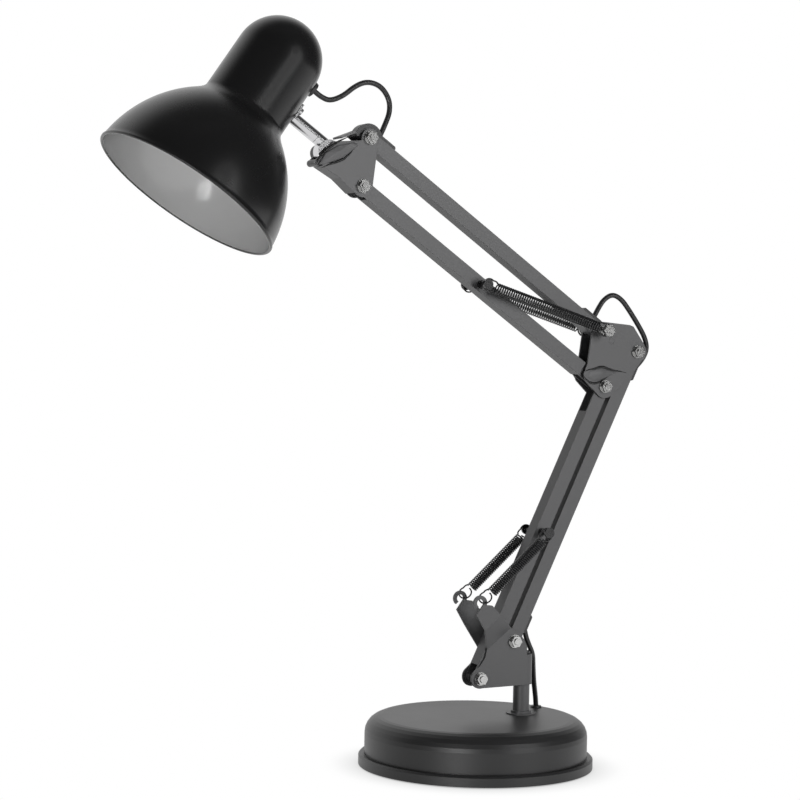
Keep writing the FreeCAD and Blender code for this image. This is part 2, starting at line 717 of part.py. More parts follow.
def ear(side):
    """One flared ear with its hook; side is -1 at the front and +1 at the back."""
    thick, plane = float(size("sheet")), float(size("ear_plane"))
    far = float(cheek_outer)
    foot_low = left_foot.moved(5.4, 21.8)
    foot_high = right_foot.moved(-3.2, 10.6)
    fold = (foot_low.at() - foot_high.at()).normalize()
    shelf_high = left_foot.moved(12.2, 49.3)
    shelf_low = shelf_high.moved(fold.x * 17.7, fold.z * 17.7)
    middle = plane - thick / 2
    rim = plane + thick / 2
    outer = [s.at(side * far) for s in (foot_low, foot_high)]
    outer += [s.at(side * rim) for s in (shelf_high, shelf_low)]
    slope = slanted_plate(outer, -side * thick)
    low, high = sorted((side * middle, side * rim))
    eye = hook_eye
    top = [shelf_low.at(), shelf_high.at(), left_foot.moved(4.4, 57.0).at(),
           eye.moved(5.0, -1.6).at(), eye.moved(2.2, -1.95).at(), eye.moved(-2.9, -8.8).at()]
    blade = flat_piece([(p.x, p.z) for p in top], low, high)
    hook = round_piece(eye, float(size("hook_outer")), low, high)
    hook = hook.cut(round_piece(eye, float(size("hook_inner")), low - 1, high + 1))
    mouth = flat_piece([(float(eye.x + u), float(eye.z + v)) for u, v in
                        ((0.3, -1.0), (-7.0, -7.4), (-7.0, -12.0), (-4.2, -10.5), (2.3, -1.7))],
                       low - 1, high + 1)
    return [slope, blade, hook.cut(mouth)]


def make_lower_bracket():
    body = doc.addObject("PartDesign::Body", "lower_bracket_cheeks")
    post_x, floor = size("post_offset"), size("bush_floor") - 1.0
    left, right = left_foot, right_foot
    outline = [
        (right.x - 3.2, right.z + 10.6), (right.x + 8.6, right.z + 1.2),
        (post_x, right.z - 5.0), (post_x, floor), (left.x, left.z - 7.5),
        (left.x - 5.3, left.z + 5.6), (left.x - 0.4, left.z + 9.8),
        (left.x + 3.8, left.z + 15.7), (left.x + 5.4, left.z + 21.8),
    ]
    drawing = add_sketch(body, "XZ_Plane")
    draw_outline(drawing, outline)
    pad(body, drawing, cheek_outer * 2, both_ways=True)
    disc_pad(body, "XZ_Plane", left.x, left.z, Size(7.7), cheek_outer * 2, both_ways=True)
    disc_pad(body, "XZ_Plane", right.x, right.z, Size(7.7), cheek_outer * 2, both_ways=True)
    fold_top = size("post_top")
    disc_pad(body, "XY_Plane", post_x, 0.0, cheek_outer, fold_top - floor, offset=floor)
    trough = add_sketch(body, "XZ_Plane")
    reach = Size(60.0)
    draw_outline(trough, [
        (post_x - reach * 2, floor - 20.0), (post_x, floor - 20.0), (post_x, fold_top),
        (post_x + reach, fold_top), (post_x + reach, right.z + 40.0),
        (post_x - reach * 2, right.z + 40.0),
    ])
    pocket(body, trough, cheek_inner * 2)
    disc_pocket(body, "XY_Plane", [(post_x, 0.0)], cheek_inner, offset=floor)
    disc_pocket(body, "XZ_Plane", [(left.x, left.z), (right.x, right.z)], bolt_hole)
    doc.recompute()
    ears = doc.addObject("Part::Feature", "lower_bracket_ears")
    ears.Shape = Part.makeCompound(ear(-1) + ear(1))
    solids = []
    for number, solid in enumerate(ears.Shape.Solids):
        piece = doc.addObject("Part::Feature", f"lower_bracket_ear_{number}")
        piece.Shape = solid
        solids.append(piece)
    doc.removeObject(ears.Name)
    keep(fuse("lower_bracket", body, *solids), "lower_bracket")

    bush = new_body("swivel_bush")
    bore = size("post_radius") + size("swivel_clearance")
    top = size("post_top") + 0.2
    block = add_sketch(bush, "XY_Plane", offset=size("bush_floor"))
    wide = cheek_inner - 0.15
    back = post_x - size("post_radius") - 4.5
    draw_outline(block, [(back, -wide), (post_x, -wide), (post_x, wide), (back, wide)])
    pad(bush, block, top + size("bush_cap") - size("bush_floor"))
    drop = Size(6.0)
    corner = add_sketch(bush, "XZ_Plane")
    draw_outline(corner, [
        (back - 5.0, top - drop), (post_x - size("post_radius") - 1.2, top - drop),
        (post_x - size("post_radius") - 1.2, top + 20.0), (back - 5.0, top + 20.0),
    ])
    pocket(bush, corner, cheek_outer * 4)
    disc_pocket(bush, "XY_Plane", [(post_x, 0.0)], bore, length=(top - size("bush_floor")) * 2,
                offset=size("bush_floor"))
    disc_pad(bush, "XY_Plane", post_x, 0.0, size("post_radius"), size("bush_cap"), offset=top)


# ---------------------------------------------------------------------------------------------
# Elbow bracket
# ---------------------------------------------------------------------------------------------
def make_elbow_bracket():
    body = new_body("elbow_bracket")
    low, right = elbow, right_top
    outline = [
        (low.x - 4.7, low.z + 50.7), (low.x + 21.9, low.z + 48.5), (right.x - 3.9, right.z + 19.6),
        (right.x + 6.6, right.z + 5.3), (right.x + 6.2, right.z - 4.8),
        (low.x + 22.0, low.z + 6.5), (low.x + 5.0, low.z - 7.6), (low.x - 6.0, low.z - 6.9),
        (low.x - 17.5, low.z + 4.2), (low.x - 19.6, low.z + 9.8), (low.x - 16.2, low.z + 17.5),
        (low.x - 14.6, low.z + 27.0), (low.x - 12.7, low.z + 41.6),
    ]
    drawing = add_sketch(body, "XZ_Plane")
    draw_outline(drawing, outline)
    pad(body, drawing, cheek_outer * 2, both_ways=True)
    disc_pad(body, "XZ_Plane", low.x, low.z, Size(9.2), cheek_outer * 2, both_ways=True)
    disc_pad(body, "XZ_Plane", right.x, right.z, Size(8.2), cheek_outer * 2, both_ways=True)
    trough = add_sketch(body, "XZ_Plane")
    skin = size("sheet")
    draw_outline(trough, [
        (low.x - 60.0, low.z + 90.0), (low.x + 18.0, low.z + 90.0),
        (low.x + 21.9 - skin * 0.8, low.z + 48.5 - skin * 0.6),
        (right.x - 3.9 - skin * 0.9, right.z + 19.6 - skin * 0.9),
        (right.x + 6.6 - skin * 0.75, right.z + 5.3), (right.x + 40.0, right.z + 5.3),
        (right.x + 40.0, low.z - 60.0), (low.x - 60.0, low.z - 60.0),
    ])
    pocket(body, trough, cheek_inner * 2)
    pivots = [(low.x, low.z), (right.x, right.z)]
    disc_pocket(body, "XZ_Plane", pivots, bolt_hole)
    disc_pocket(body, "XZ_Plane", [(upper_root.x, upper_root.z)], bolt_hole)

    rivet = cylinder("upper_bar_rivet_stem", size("bolt_radius"), cheek_outer * 2)
    across(rivet, upper_root, -cheek_outer)
    keep(rivet, "upper_bar_rivet")

    studs = []
    anchor = spring_stud
    out = hook_side()
    for side in ("front", "rear"):
        near = -out if side == "front" else cheek_outer
        stem = cylinder(f"spring_stud_{side}_stem", size("spring_pin_radius"), out - cheek_outer)
        across(stem, anchor, near)
        foot = cylinder(f"spring_stud_{side}_foot", size("spring_pin_radius") + 1.5, Size(2.0))
        across(foot, anchor, -cheek_outer - 2.0 if side == "front" else cheek_outer)
        head = hexagon(f"spring_stud_{side}_head", Size(10.0), size("stud_head"))
        across(head, anchor, -out - size("stud_head") if side == "front" else out)
        studs.append(fuse(f"spring_stud_{side}", stem, foot, head))
    group("spring_studs", studs)


# ---------------------------------------------------------------------------------------------
# Head bracket: cheeks that step in at the nose, a folded floor and a short roof
# ---------------------------------------------------------------------------------------------
def make_head_bracket():
    skin = float(size("sheet"))
    near, far = float(cheek_inner), float(cheek_outer)
    nose_in = float(size("nose_half_gap"))
    nose_out = nose_in + skin
    top, low, tilt = head_top, head_low, tilt_pivot
    bend_high, bend_low = top.moved(-7.6, -2.2), top.moved(-24.2, -19.2)
    fold = (bend_low.at() - bend_high.at()).normalize()
    nose_high = tilt.moved(2.2, 7.6)
    nose_low = nose_high.moved(fold.x * 20.8, fold.z * 20.8)
    keel_nose, keel_mid = tilt.moved(-7.2, -11.0), low.moved(-19.0, 5.1)
    keel_end = low.moved(-7.0, -5.2)
    right_low, right_mid, right_high = low.moved(7.8, 0.8), top.moved(4.7, -16.0), top.moved(6.6, 2.9)
    roof_front, roof_end = top.moved(-23.7, -0.1), top.moved(-11.9, 4.52)
    roof_back, roof_root = top.moved(-15.0, 3.31), top.moved(-9.0, 5.66)

    def xz(*spots):
        return [(float(s.x), float(s.z)) for s in spots]

    main = xz(bend_high, bend_low, tilt.moved(-5.0, -8.9), keel_nose, keel_mid, keel_end,
              right_low, right_mid, right_high, top.moved(0.0, 6.0))
    rear = main + xz(roof_root, roof_back)
    solids = []
    for side in (-1, 1):
        a, b = sorted((side * near, side * far))
        solids.append(flat_piece(rear if side > 0 else main, a, b))
        for spot, radius in ((top, 7.0), (low, 8.0)):
            solids.append(round_piece(spot, radius, a, b))
        outer = [s.at(side * far) for s in (bend_low, bend_high)]
        outer += [s.at(side * nose_out) for s in (nose_high, nose_low)]
        solids.append(slanted_plate(outer, -side * skin))
    up = Vector(-0.365, 0, 0.931)
    roof = xz(roof_front, roof_end)
    roof += [(x - up.x * skin, z - up.z * skin) for x, z in reversed(roof)]
    solids.append(flat_piece(roof, -far, far))
    keel = xz(keel_nose, keel_mid, keel_end)
    inner_ways = ((0.654, 0.756), (0.573, 0.819), (0.488, 0.873))
    keel += [(x + across_x * skin, z + across_z * skin)
             for (x, z), (across_x, across_z) in zip(reversed(keel), inner_ways)]
    solids.append(flat_piece(keel, -far, far))
    roll = tilt.moved(-10.6, -8.6)
    solids.append(round_piece(roll, 2.6, -nose_out, nose_out))
    shape = solids[0].fuse(solids[1:])
    for spot in (top, low):
        shape = shape.cut(round_piece(spot, float(bolt_hole), -far * 2, far * 2))
    shape = shape.cut(round_piece(tilt, float(size("spring_pin_radius")) + 0.05, -far * 2, far * 2))
    free_shape("head_bracket", shape.removeSplitter())

    pin_end = nose_out + float(size("thumb_nut_length")) + 2.2
    pin = across(cylinder("tilt_pin_stem", size("spring_pin_radius"),
                          Size(pin_end) + size("nose_half_gap") + size("sheet")),
                 tilt, -size("nose_half_gap") - size("sheet"))
    keep(pin, "tilt_pin")
    nut = cylinder("tilt_thumb_nut_blank", size("thumb_nut_radius"), size("thumb_nut_length"))
    across(nut, tilt, cheek_outer + 0.2)
    bore = cylinder("tilt_thumb_nut_bore", size("spring_pin_radius") + size("pivot_clearance"),
                    size("thumb_nut_length") * 3)
    across(bore, tilt, cheek_outer - size("thumb_nut_length"))
    keep(cut("tilt_thumb_nut", nut, bore), "tilt_thumb_nut")


# ---------------------------------------------------------------------------------------------
# Knuckle, rod and shade
# ---------------------------------------------------------------------------------------------
def shade_spot(radial, station):
    """A spot of the arm plane given by its distance from the shade's axis and above its rim."""
    return rim_centre.along(SHADE_UP, station, -Size.of(radial))


def make_head():
    rod_station = size("shade_drop") + size("rod_rise")
    tilt_r = size("shade_reach")
    way = Vector(float(SHADE_UP[1]), 0, -float(SHADE_UP[0]))
    rod_axis_turn = size("shade_tilt") + 90.0

    def rod_piece(name, radius, start, end):
        """A cylinder on the rod's axis between two distances from the shade's axis."""
        made = cylinder(name, radius, Size.of(end) - start)
        return put(made, shade_spot(start, rod_station), turn=rod_axis_turn)

    joint = tilt_r - size("swivel_joint")
    barrel = across(cylinder("knuckle_barrel", size("barrel_radius"), size("barrel_half") * 2),
                    tilt_pivot, -size("barrel_half"))
    neck = rod_piece("knuckle_neck", size("rod_radius"), joint + 0.1, tilt_r)
    socket = rod_piece("knuckle_socket", size("spigot_radius") + size("pivot_clearance"),
                       joint - 2.0, joint + size("spigot_length") + 0.4)
    hole = across(cylinder("knuckle_hole", size("spring_pin_radius") + size("pivot_clearance"),
                           size("barrel_half") * 4), tilt_pivot, -size("barrel_half") * 2)
    keep(cut("knuckle", fuse("knuckle_blank", barrel, neck), fuse("knuckle_bores", socket, hole)),
         "knuckle")

    dome = size("dome_radius")
    shaft = rod_piece("shade_rod_shaft", size("rod_radius"), dome + 0.6, joint)
    spigot = rod_piece("shade_rod_spigot", size("spigot_radius"), joint - 1.0,
                       joint + size("spigot_length"))
    thread = rod_piece("shade_rod_thread", size("spigot_radius"), dome - 11.4, dome + 1.0)
    plate = box("shade_rod_plate", Size(1.4), Size(9.0), size("screw_rise") + 4.2)
    put(plate, shade_spot(dome + 0.4, rod_station), -4.5, turn=size("shade_tilt"))
    keep(fuse("shade_rod", shaft, spigot, thread, plate), "shade_rod")

    nut = hexagon("shade_rod_nut_blank", Size(11.0), Size(4.0))
    put(nut, shade_spot(dome - 5.6, rod_station), turn=rod_axis_turn)
    bore = rod_piece("shade_rod_nut_bore", size("spigot_radius") + 0.05, dome - 9.0, dome + 3.0)
    keep(cut("shade_rod_nut", nut, bore), "shade_rod_nut")

    lock_station = rod_station + size("screw_rise")
    head = put(cylinder("shade_lock_head", size("lock_screw_radius"), Size(2.6)),
               shade_spot(dome + 1.8, lock_station), turn=rod_axis_turn)
    keep(head, "shade_lock_screw")

    make_shade()


def centre_through(a, b, c):
    """The centre of the circle through three points."""
    (ax, ay), (bx, by), (cx, cy) = a, b, c
    d = 2 * (ax * (by - cy) + bx * (cy - ay) + cx * (ay - by))
    ux = ((ax**2 + ay**2) * (by - cy) + (bx**2 + by**2) * (cy - ay)
          + (cx**2 + cy**2) * (ay - by)) / d
    uy = ((ax**2 + ay**2) * (cx - bx) + (bx**2 + by**2) * (ax - cx)
          + (cx**2 + cy**2) * (bx - ax)) / d
    return Vector(ux, uy, 0)


def make_shade():
    """Rim bead, bell, neck fillet, straight cap and round top, turned from one wire of arcs."""
    wall = float(size("shade_wall"))
    rim, dome = float(size("rim_radius")), float(size("dome_radius"))
    height = float(size("shade_height"))
    top_z, top_r = float(size("bell_top")), float(size("bell_top_radius"))
    mid_z, mid_r = float(size("bell_middle")), float(size("bell_middle_radius"))
    neck_z = float(size("neck_station"))
    crown = height - dome

    def profile(inset):
        """The wall's line from the rim up to the axis, moved inwards by inset."""
        centre = centre_through((rim, 0.0), (mid_r, mid_z), (top_r, top_z))
        radius = (Vector(rim, 0, 0) - centre).Length - inset

        def on_bell(r, z):
            way = (Vector(r, z, 0) - centre).normalize()
            return centre + way * radius

        start, middle, end = on_bell(rim, 0.0), on_bell(mid_r, mid_z), on_bell(top_r, top_z)
        start = Vector(math.sqrt(radius**2 - centre.y**2) + centre.x, 0, 0)
        cap_r = dome - inset
        neck = Vector(cap_r, neck_z, 0)
        crown_start = Vector(cap_r, crown, 0)
        crown_mid = Vector(cap_r * math.cos(math.pi / 4), crown + cap_r * math.sin(math.pi / 4), 0)
        peak = Vector(0, crown + cap_r, 0)
        tangent = Vector(-(end - centre).y, (end - centre).x, 0).normalize()
        turn = math.acos(tangent.y)
        chord = neck - end
        sag = chord.Length / 2 * math.tan(turn / 4)
        inwards = Vector(-chord.y, chord.x, 0).normalize()
        fillet_mid = (end + neck) * 0.5 - inwards * math.copysign(sag, inwards.x)
        return start, middle, end, fillet_mid, neck, crown_start, crown_mid, peak

    def lift(point):
        return Vector(point.x, 0, point.y)

    def edges(inset):
        a, b, c, d, e, f, g, h = [lift(p) for p in profile(inset)]
        return [Part.Arc(a, b, c).toShape(), Part.Arc(c, d, e).toShape(),
                Part.LineSegment(e, f).toShape(), Part.Arc(f, g, h).toShape()]

    outer, inner = edges(0.0), edges(wall)
    ends = [Part.LineSegment(outer[0].Vertexes[0].Point, inner[0].Vertexes[0].Point).toShape(),
            Part.LineSegment(outer[-1].Vertexes[-1].Point, inner[-1].Vertexes[-1].Point).toShape()]
    face = Part.Face(Part.Wire(Part.__sortEdges__(outer + inner + ends)))
    shell = face.revolve(Vector(0, 0, 0), Vector(0, 0, 1), 360)
    bead = float(size("rim_bead"))
    bead_centre = Vector(rim - wall / 2, 0, 0)
    bead_face = Part.Face(Part.Wire(Part.makeCircle(bead, bead_centre, Vector(0, 1, 0))))
    bead_ring = bead_face.revolve(Vector(0, 0, 0), Vector(0, 0, 1), 360)
    shape = shell.fuse(bead_ring)

    def side_hole(station, radius):
        return Part.makeCylinder(radius, dome, Vector(dome * 0.6, 0, float(station)), Vector(1, 0, 0))

    rod_station = size("shade_drop") + size("rod_rise")
    shape = shape.cut(side_hole(rod_station, float(size("spigot_radius")) + 0.1))
    shape = shape.cut(side_hole(size("cord_station"), float(size("grommet_radius")) - 0.9))
    shade = free_shape("shade_shell", shape)
    shade.Placement = Placement(rim_centre.at(), Rotation(Vector(0, 1, 0), float(shade_lean)))

    turn = size("shade_tilt")
    grommet = make_grommet("shade_grommet", size("bush_radius"), size("bush_lip"),
                           size("bush_grip"))
    put(grommet, shade_spot(size("dome_radius"), size("cord_station")), turn=turn + 90.0)

    holder = new_body("lamp_holder_body")
    r, mouth = size("holder_radius"), size("holder_mouth")
    bore = size("socket_radius") + size("socket_wall") + 0.05
    wide_top = mouth + size("holder_length")
    cap_r, cap_top = size("holder_cap_radius"), wide_top + size("holder_cap_length")
    deep = mouth + size("socket_depth") + 4.0
    revolve(holder, [
        (bore, mouth), (r, mouth), (r, wide_top), (cap_r, cap_top), (0.0, cap_top), (0.0, deep),
        (bore, deep),
    ])
    put(holder, rim_centre, turn=turn)

    shell_body = new_body("lamp_holder_shell")
    low = mouth + 1.5
    revolve(shell_body, [
        (size("socket_radius"), low), (size("socket_radius") + size("socket_wall"), low),
        (size("socket_radius") + size("socket_wall"), low + size("socket_depth")),
        (size("socket_radius"), low + size("socket_depth")),
    ])
    put(shell_body, rim_centre, turn=turn)

    contact = new_body("lamp_holder_contact")
    disc_pad(contact, "XY_Plane", 0.0, 0.0, Size(3.5), Size(1.6), offset=deep - 1.6)
    put(contact, rim_centre, turn=turn)

    ring = new_body("holder_clamp")
    ring_in = r + 0.1
    ring_out = ring_in + size("clamp_ring_wall")
    ring_low = rod_station - size("clamp_ring_height") / 2
    disc_pad(ring, "XY_Plane", 0.0, 0.0, ring_out, size("clamp_ring_height"), offset=ring_low)
    lug = add_sketch(ring, "XY_Plane", offset=ring_low)
    lug_end = size("dome_radius") - 7.6
    draw_outline(lug, [(0.0, -4.0), (lug_end, -4.0), (lug_end, 4.0), (0.0, 4.0)])
    pad(ring, lug, size("clamp_ring_height"))
    disc_pocket(ring, "XY_Plane", [(0.0, 0.0)], ring_in, length=size("clamp_ring_height") * 4,
                offset=ring_low)
    bore_sketch = add_sketch(ring, "YZ_Plane", offset=size("dome_radius"))
    draw_circle(bore_sketch, 0.0, rod_station, size("spigot_radius") + 0.05)
    pocket(ring, bore_sketch, size("dome_radius"), both_ways=True)
    put(ring, rim_centre, turn=turn)


# ---------------------------------------------------------------------------------------------
# Springs: close coils with a hook at each end
# ---------------------------------------------------------------------------------------------
def arc_edge(start, tangent, end):
    """The arc that leaves start along tangent and arrives at end."""
    chord = end - start
    along = chord * tangent
    if (chord - tangent * along).Length < 1e-7:
        return Part.LineSegment(start, end).toShape()
    side = (chord - tangent * along).normalize()
    height = chord * side
    radius = chord.Length**2 / (2 * height)
    centre = start + side * radius
    half = math.atan2(height, along)
    middle = centre - side * radius * math.cos(half) + tangent * radius * math.sin(half)
    return Part.Arc(start, middle, end).toShape()


def biarc(start, way_in, end, way_out):
    """Two arcs that join two places with given directions."""
    v, t = end - start, way_in + way_out
    square = 2 * (1 - way_in * way_out)
    if square < 1e-9:
        reach = v.Length**2 / (4 * (v * way_out))
    else:
        reach = (-(v * t) + math.sqrt((v * t) ** 2 + square * v.Length**2)) / square
    first, second = start + way_in * reach, end - way_out * reach
    joint = (first + second) * 0.5
    middle_way = (second - first).normalize()
    return [arc_edge(start, way_in, joint), arc_edge(joint, middle_way, end)]


def make_spring(label, ring_a, ring_b, depth, turns, lean=0.0):
    """An extension spring between the middles of its two end rings.

    The last ring stands in the spring's plane, the first one leans out of it by an angle.
    """
    wire, r = float(size("spring_wire")), float(size("spring_mean_radius"))
    ring_r, bend = float(size("ring_radius")), wire * 1.15
    neck = ring_r + float(size("ring_neck"))
    a, b = ring_a.at(depth), ring_b.at(depth)
    turns -= lean / 360.0
    tilt = math.radians(lean)
    shift_a, shift_b = Vector(), Vector()
    for _ in range(3):
        way = (b + shift_b - a - shift_a).normalize()
        flat = way.cross(Vector(0, 1, 0)).normalize()
        deep = flat.cross(way)
        first = flat * math.cos(tilt) + deep * math.sin(tilt)
        second = first.cross(way)
        shift_a, shift_b = second * bend, deep * -bend
    coil_start = a + shift_a + way * (neck + bend)
    coil_end = b + shift_b - way * (neck + bend)
    span = (coil_end - coil_start).Length
    rise = span / turns
    circle = 2 * math.pi * r

    def on_coil(part):
        """Place, heading, outward direction and heading without its rise, part way along."""
        angle = 2 * math.pi * part * turns
        out = first * math.cos(angle) + second * math.sin(angle)
        around = second * math.cos(angle) - first * math.sin(angle)
        place = coil_start + way * (span * part) + out * r
        return place, (around * circle + way * rise).normalize(), out, around

    steps = int(turns * 4)
    stops = [on_coil(k / steps) for k in range(steps + 1)]
    out_a, around_a = stops[0][2:]
    out_b, around_b = stops[-1][2:]
    lead_in = coil_start - way * bend + out_a * r - around_a * bend
    lead_out = coil_end + way * bend + out_b * r + around_b * bend
    path = [reversed_edge(e) for e in reversed(ring_edges(a, -way, out_a, ring_r, lead_in))]
    path += biarc(lead_in, way, *stops[0][:2])
    for here, after in zip(stops, stops[1:]):
        path += biarc(*here[:2], *after[:2])
    path += biarc(*stops[-1][:2], lead_out, way)
    path += ring_edges(b, way, out_b, ring_r, lead_out)
    points = [p for e in path for p in e.discretize(9)[:-1]]
    report_self_gap(label, points, wire, circle * 0.6)
    route = Part.Wire(path)
    start = path[0].Vertexes[0].Point
    tangent = path[0].tangentAt(path[0].FirstParameter)
    section = Part.Wire(Part.makeCircle(wire / 2, start, tangent))
    free_shape(label, route.makePipeShell([section], True, False))


def ring_edges(middle, out, aside, radius, joint):
    """A nearly closed ring round its middle, from a joint beside the coil back towards the coil."""

    def on_ring(degrees):
        angle = math.radians(degrees)
        return middle + (aside * math.cos(angle) + out * math.sin(angle)) * radius

    def heading(degrees):
        angle = math.radians(degrees)
        return out * math.cos(angle) - aside * math.sin(angle)

    edges = biarc(joint, out, on_ring(-30), heading(-30))
    edges.append(Part.Arc(on_ring(-30), on_ring(45), on_ring(110)).toShape())
    edges.append(Part.Arc(on_ring(110), on_ring(180), on_ring(245)).toShape())
    return edges


def reversed_edge(edge):
    """The same line or arc, run from its end to its start."""
    points = edge.discretize(3)
    if isinstance(edge.Curve, Part.Line):
        return Part.LineSegment(points[2], points[0]).toShape()
    return Part.Arc(points[2], points[1], points[0]).toShape()


def report_self_gap(label, points, wire, apart):
    """Print the least gap between stretches of wire that are farther apart along it than apart."""
    lengths = [0.0]
    for p, q in zip(points, points[1:]):
        lengths.append(lengths[-1] + (q - p).Length)
    least = 1e9
    for i in range(len(points)):
        for j in range(i + 1, min(len(points), i + 260)):
            if lengths[j] - lengths[i] > apart:
                least = min(least, (points[j] - points[i]).Length - wire)
    print(f"{label}: least gap between turns {least:.2f} mm")


def make_springs():
    plane = float(size("ear_plane"))
    lower_pin = left_foot.along(LOWER_WAY, size("lower_pin_station"))
    upper_pin = elbow.along(UPPER_WAY, size("upper_pin_station"))
    make_spring_pin("lower_spring_pin", lower_pin)
    make_spring_pin("upper_spring_pin", upper_pin)
    ring_r = size("ring_radius")
    on_pin = float(ring_r - size("spring_wire") / 2 - size("spring_pin_radius") - size("hook_play"))
    in_hook = float(ring_r + size("hook_hang"))

    def towards(start, goal, distance):
        way = (goal.at() - start.at()).normalize()
        return Spot(float(start.x) + way.x * distance, float(start.z) + way.z * distance)

    lower_rings = towards(hook_eye, lower_pin, in_hook), towards(lower_pin, hook_eye, on_pin)
    upper_rings = (towards(upper_pin, spring_stud, on_pin), towards(spring_stud, upper_pin, on_pin))
    for side, depth in (("front", -plane), ("rear", plane)):
        make_spring(f"lower_spring_{side}", *lower_rings, depth,
                    float(size("lower_spring_turns")), lean=float(size("ring_lean")))
        make_spring(f"upper_spring_{side}", *upper_rings, depth,
                    float(size("upper_spring_turns")))


# ---------------------------------------------------------------------------------------------
# Lead: clips in the channels, the stretches between them and the free loops
# ---------------------------------------------------------------------------------------------
def lead_tube(label, points):
    """A round lead through these places; its first and last stretches are straight."""
    radius = float(size("lead_radius"))
    points = [Vector(*p) for p in points]
    steps = [after - before for before, after in zip(points, points[1:])]
    ways = [steps[0].normalize()]
    for before, after in zip(steps, steps[1:]):
        ways.append((before / before.Length**2 + after / after.Length**2).normalize())
    ways.append(steps[-1].normalize())
    ways[1], ways[-2] = ways[0], ways[-1]
    edges = []
    for k in range(len(points) - 1):
        edges += biarc(points[k], ways[k], points[k + 1], ways[k + 1])
    route = Part.Wire(edges)
    section = Part.Wire(Part.makeCircle(radius, points[0], ways[0]))
    shape = route.makePipeShell([section], True, False)
    bends = [e.Curve.Radius for e in edges if isinstance(e.Curve, Part.Circle)]
    if bends:
        expected = math.pi * radius**2 * route.Length
        print(f"{label}: {route.Length:.0f} mm long, radii",
              " ".join(f"{bend:.0f}" for bend in bends),
              f"mm, volume {shape.Volume / expected:.4f} of expected")
    free_shape(label, shape)


def make_clip(label, start, angle, low, high, way, nose_at=None):
    """A plastic clip that fills the channel between two stations and stands out of its mouth.

    The lead leaves it along way, two places of station and height that start inside the clip.
    """
    body = doc.addObject("PartDesign::Body", f"{label}_block")
    half = bar_half - size("bar_wall") - size("clip_side_gap")
    web = size("bar_width") / 2 - size("bar_wall") - size("clip_side_gap")
    mouth = -(size("bar_width") / 2) - size("clip_rise")
    drawing = add_sketch(body, "XZ_Plane")
    draw_outline(drawing, [(low, mouth + 1.2), (low + 1.2, mouth), (high - 1.2, mouth),
                           (high, mouth + 1.2), (high, web), (low, web)])
    pad(body, drawing, half * 2, both_ways=True)
    if nose_at is not None:
        disc_pad(body, "XZ_Plane", nose_at, 0.0, size("clip_nose_radius"), half * 2,
                 both_ways=True)
        disc_pocket(body, "XZ_Plane", [(nose_at, 0.0)], bolt_hole)
        relief = add_sketch(body, "XZ_Plane")
        width = size("bar_width")
        draw_outline(relief, [(low - 5.0, web), (nose_at + width * 2, web),
                              (nose_at + width * 2, width * 3), (low - 5.0, width * 3)])
        pocket(body, relief, half * 4)
    put(body, start, turn=-angle)
    doc.recompute()
    inner, outer = [spot.at() for spot in way]
    bore = Part.makeCylinder(float(size("lead_radius") + size("lead_way_play")), 30.0,
                             inner, outer - inner)
    free_shape(label, body.Shape.cut(bore))


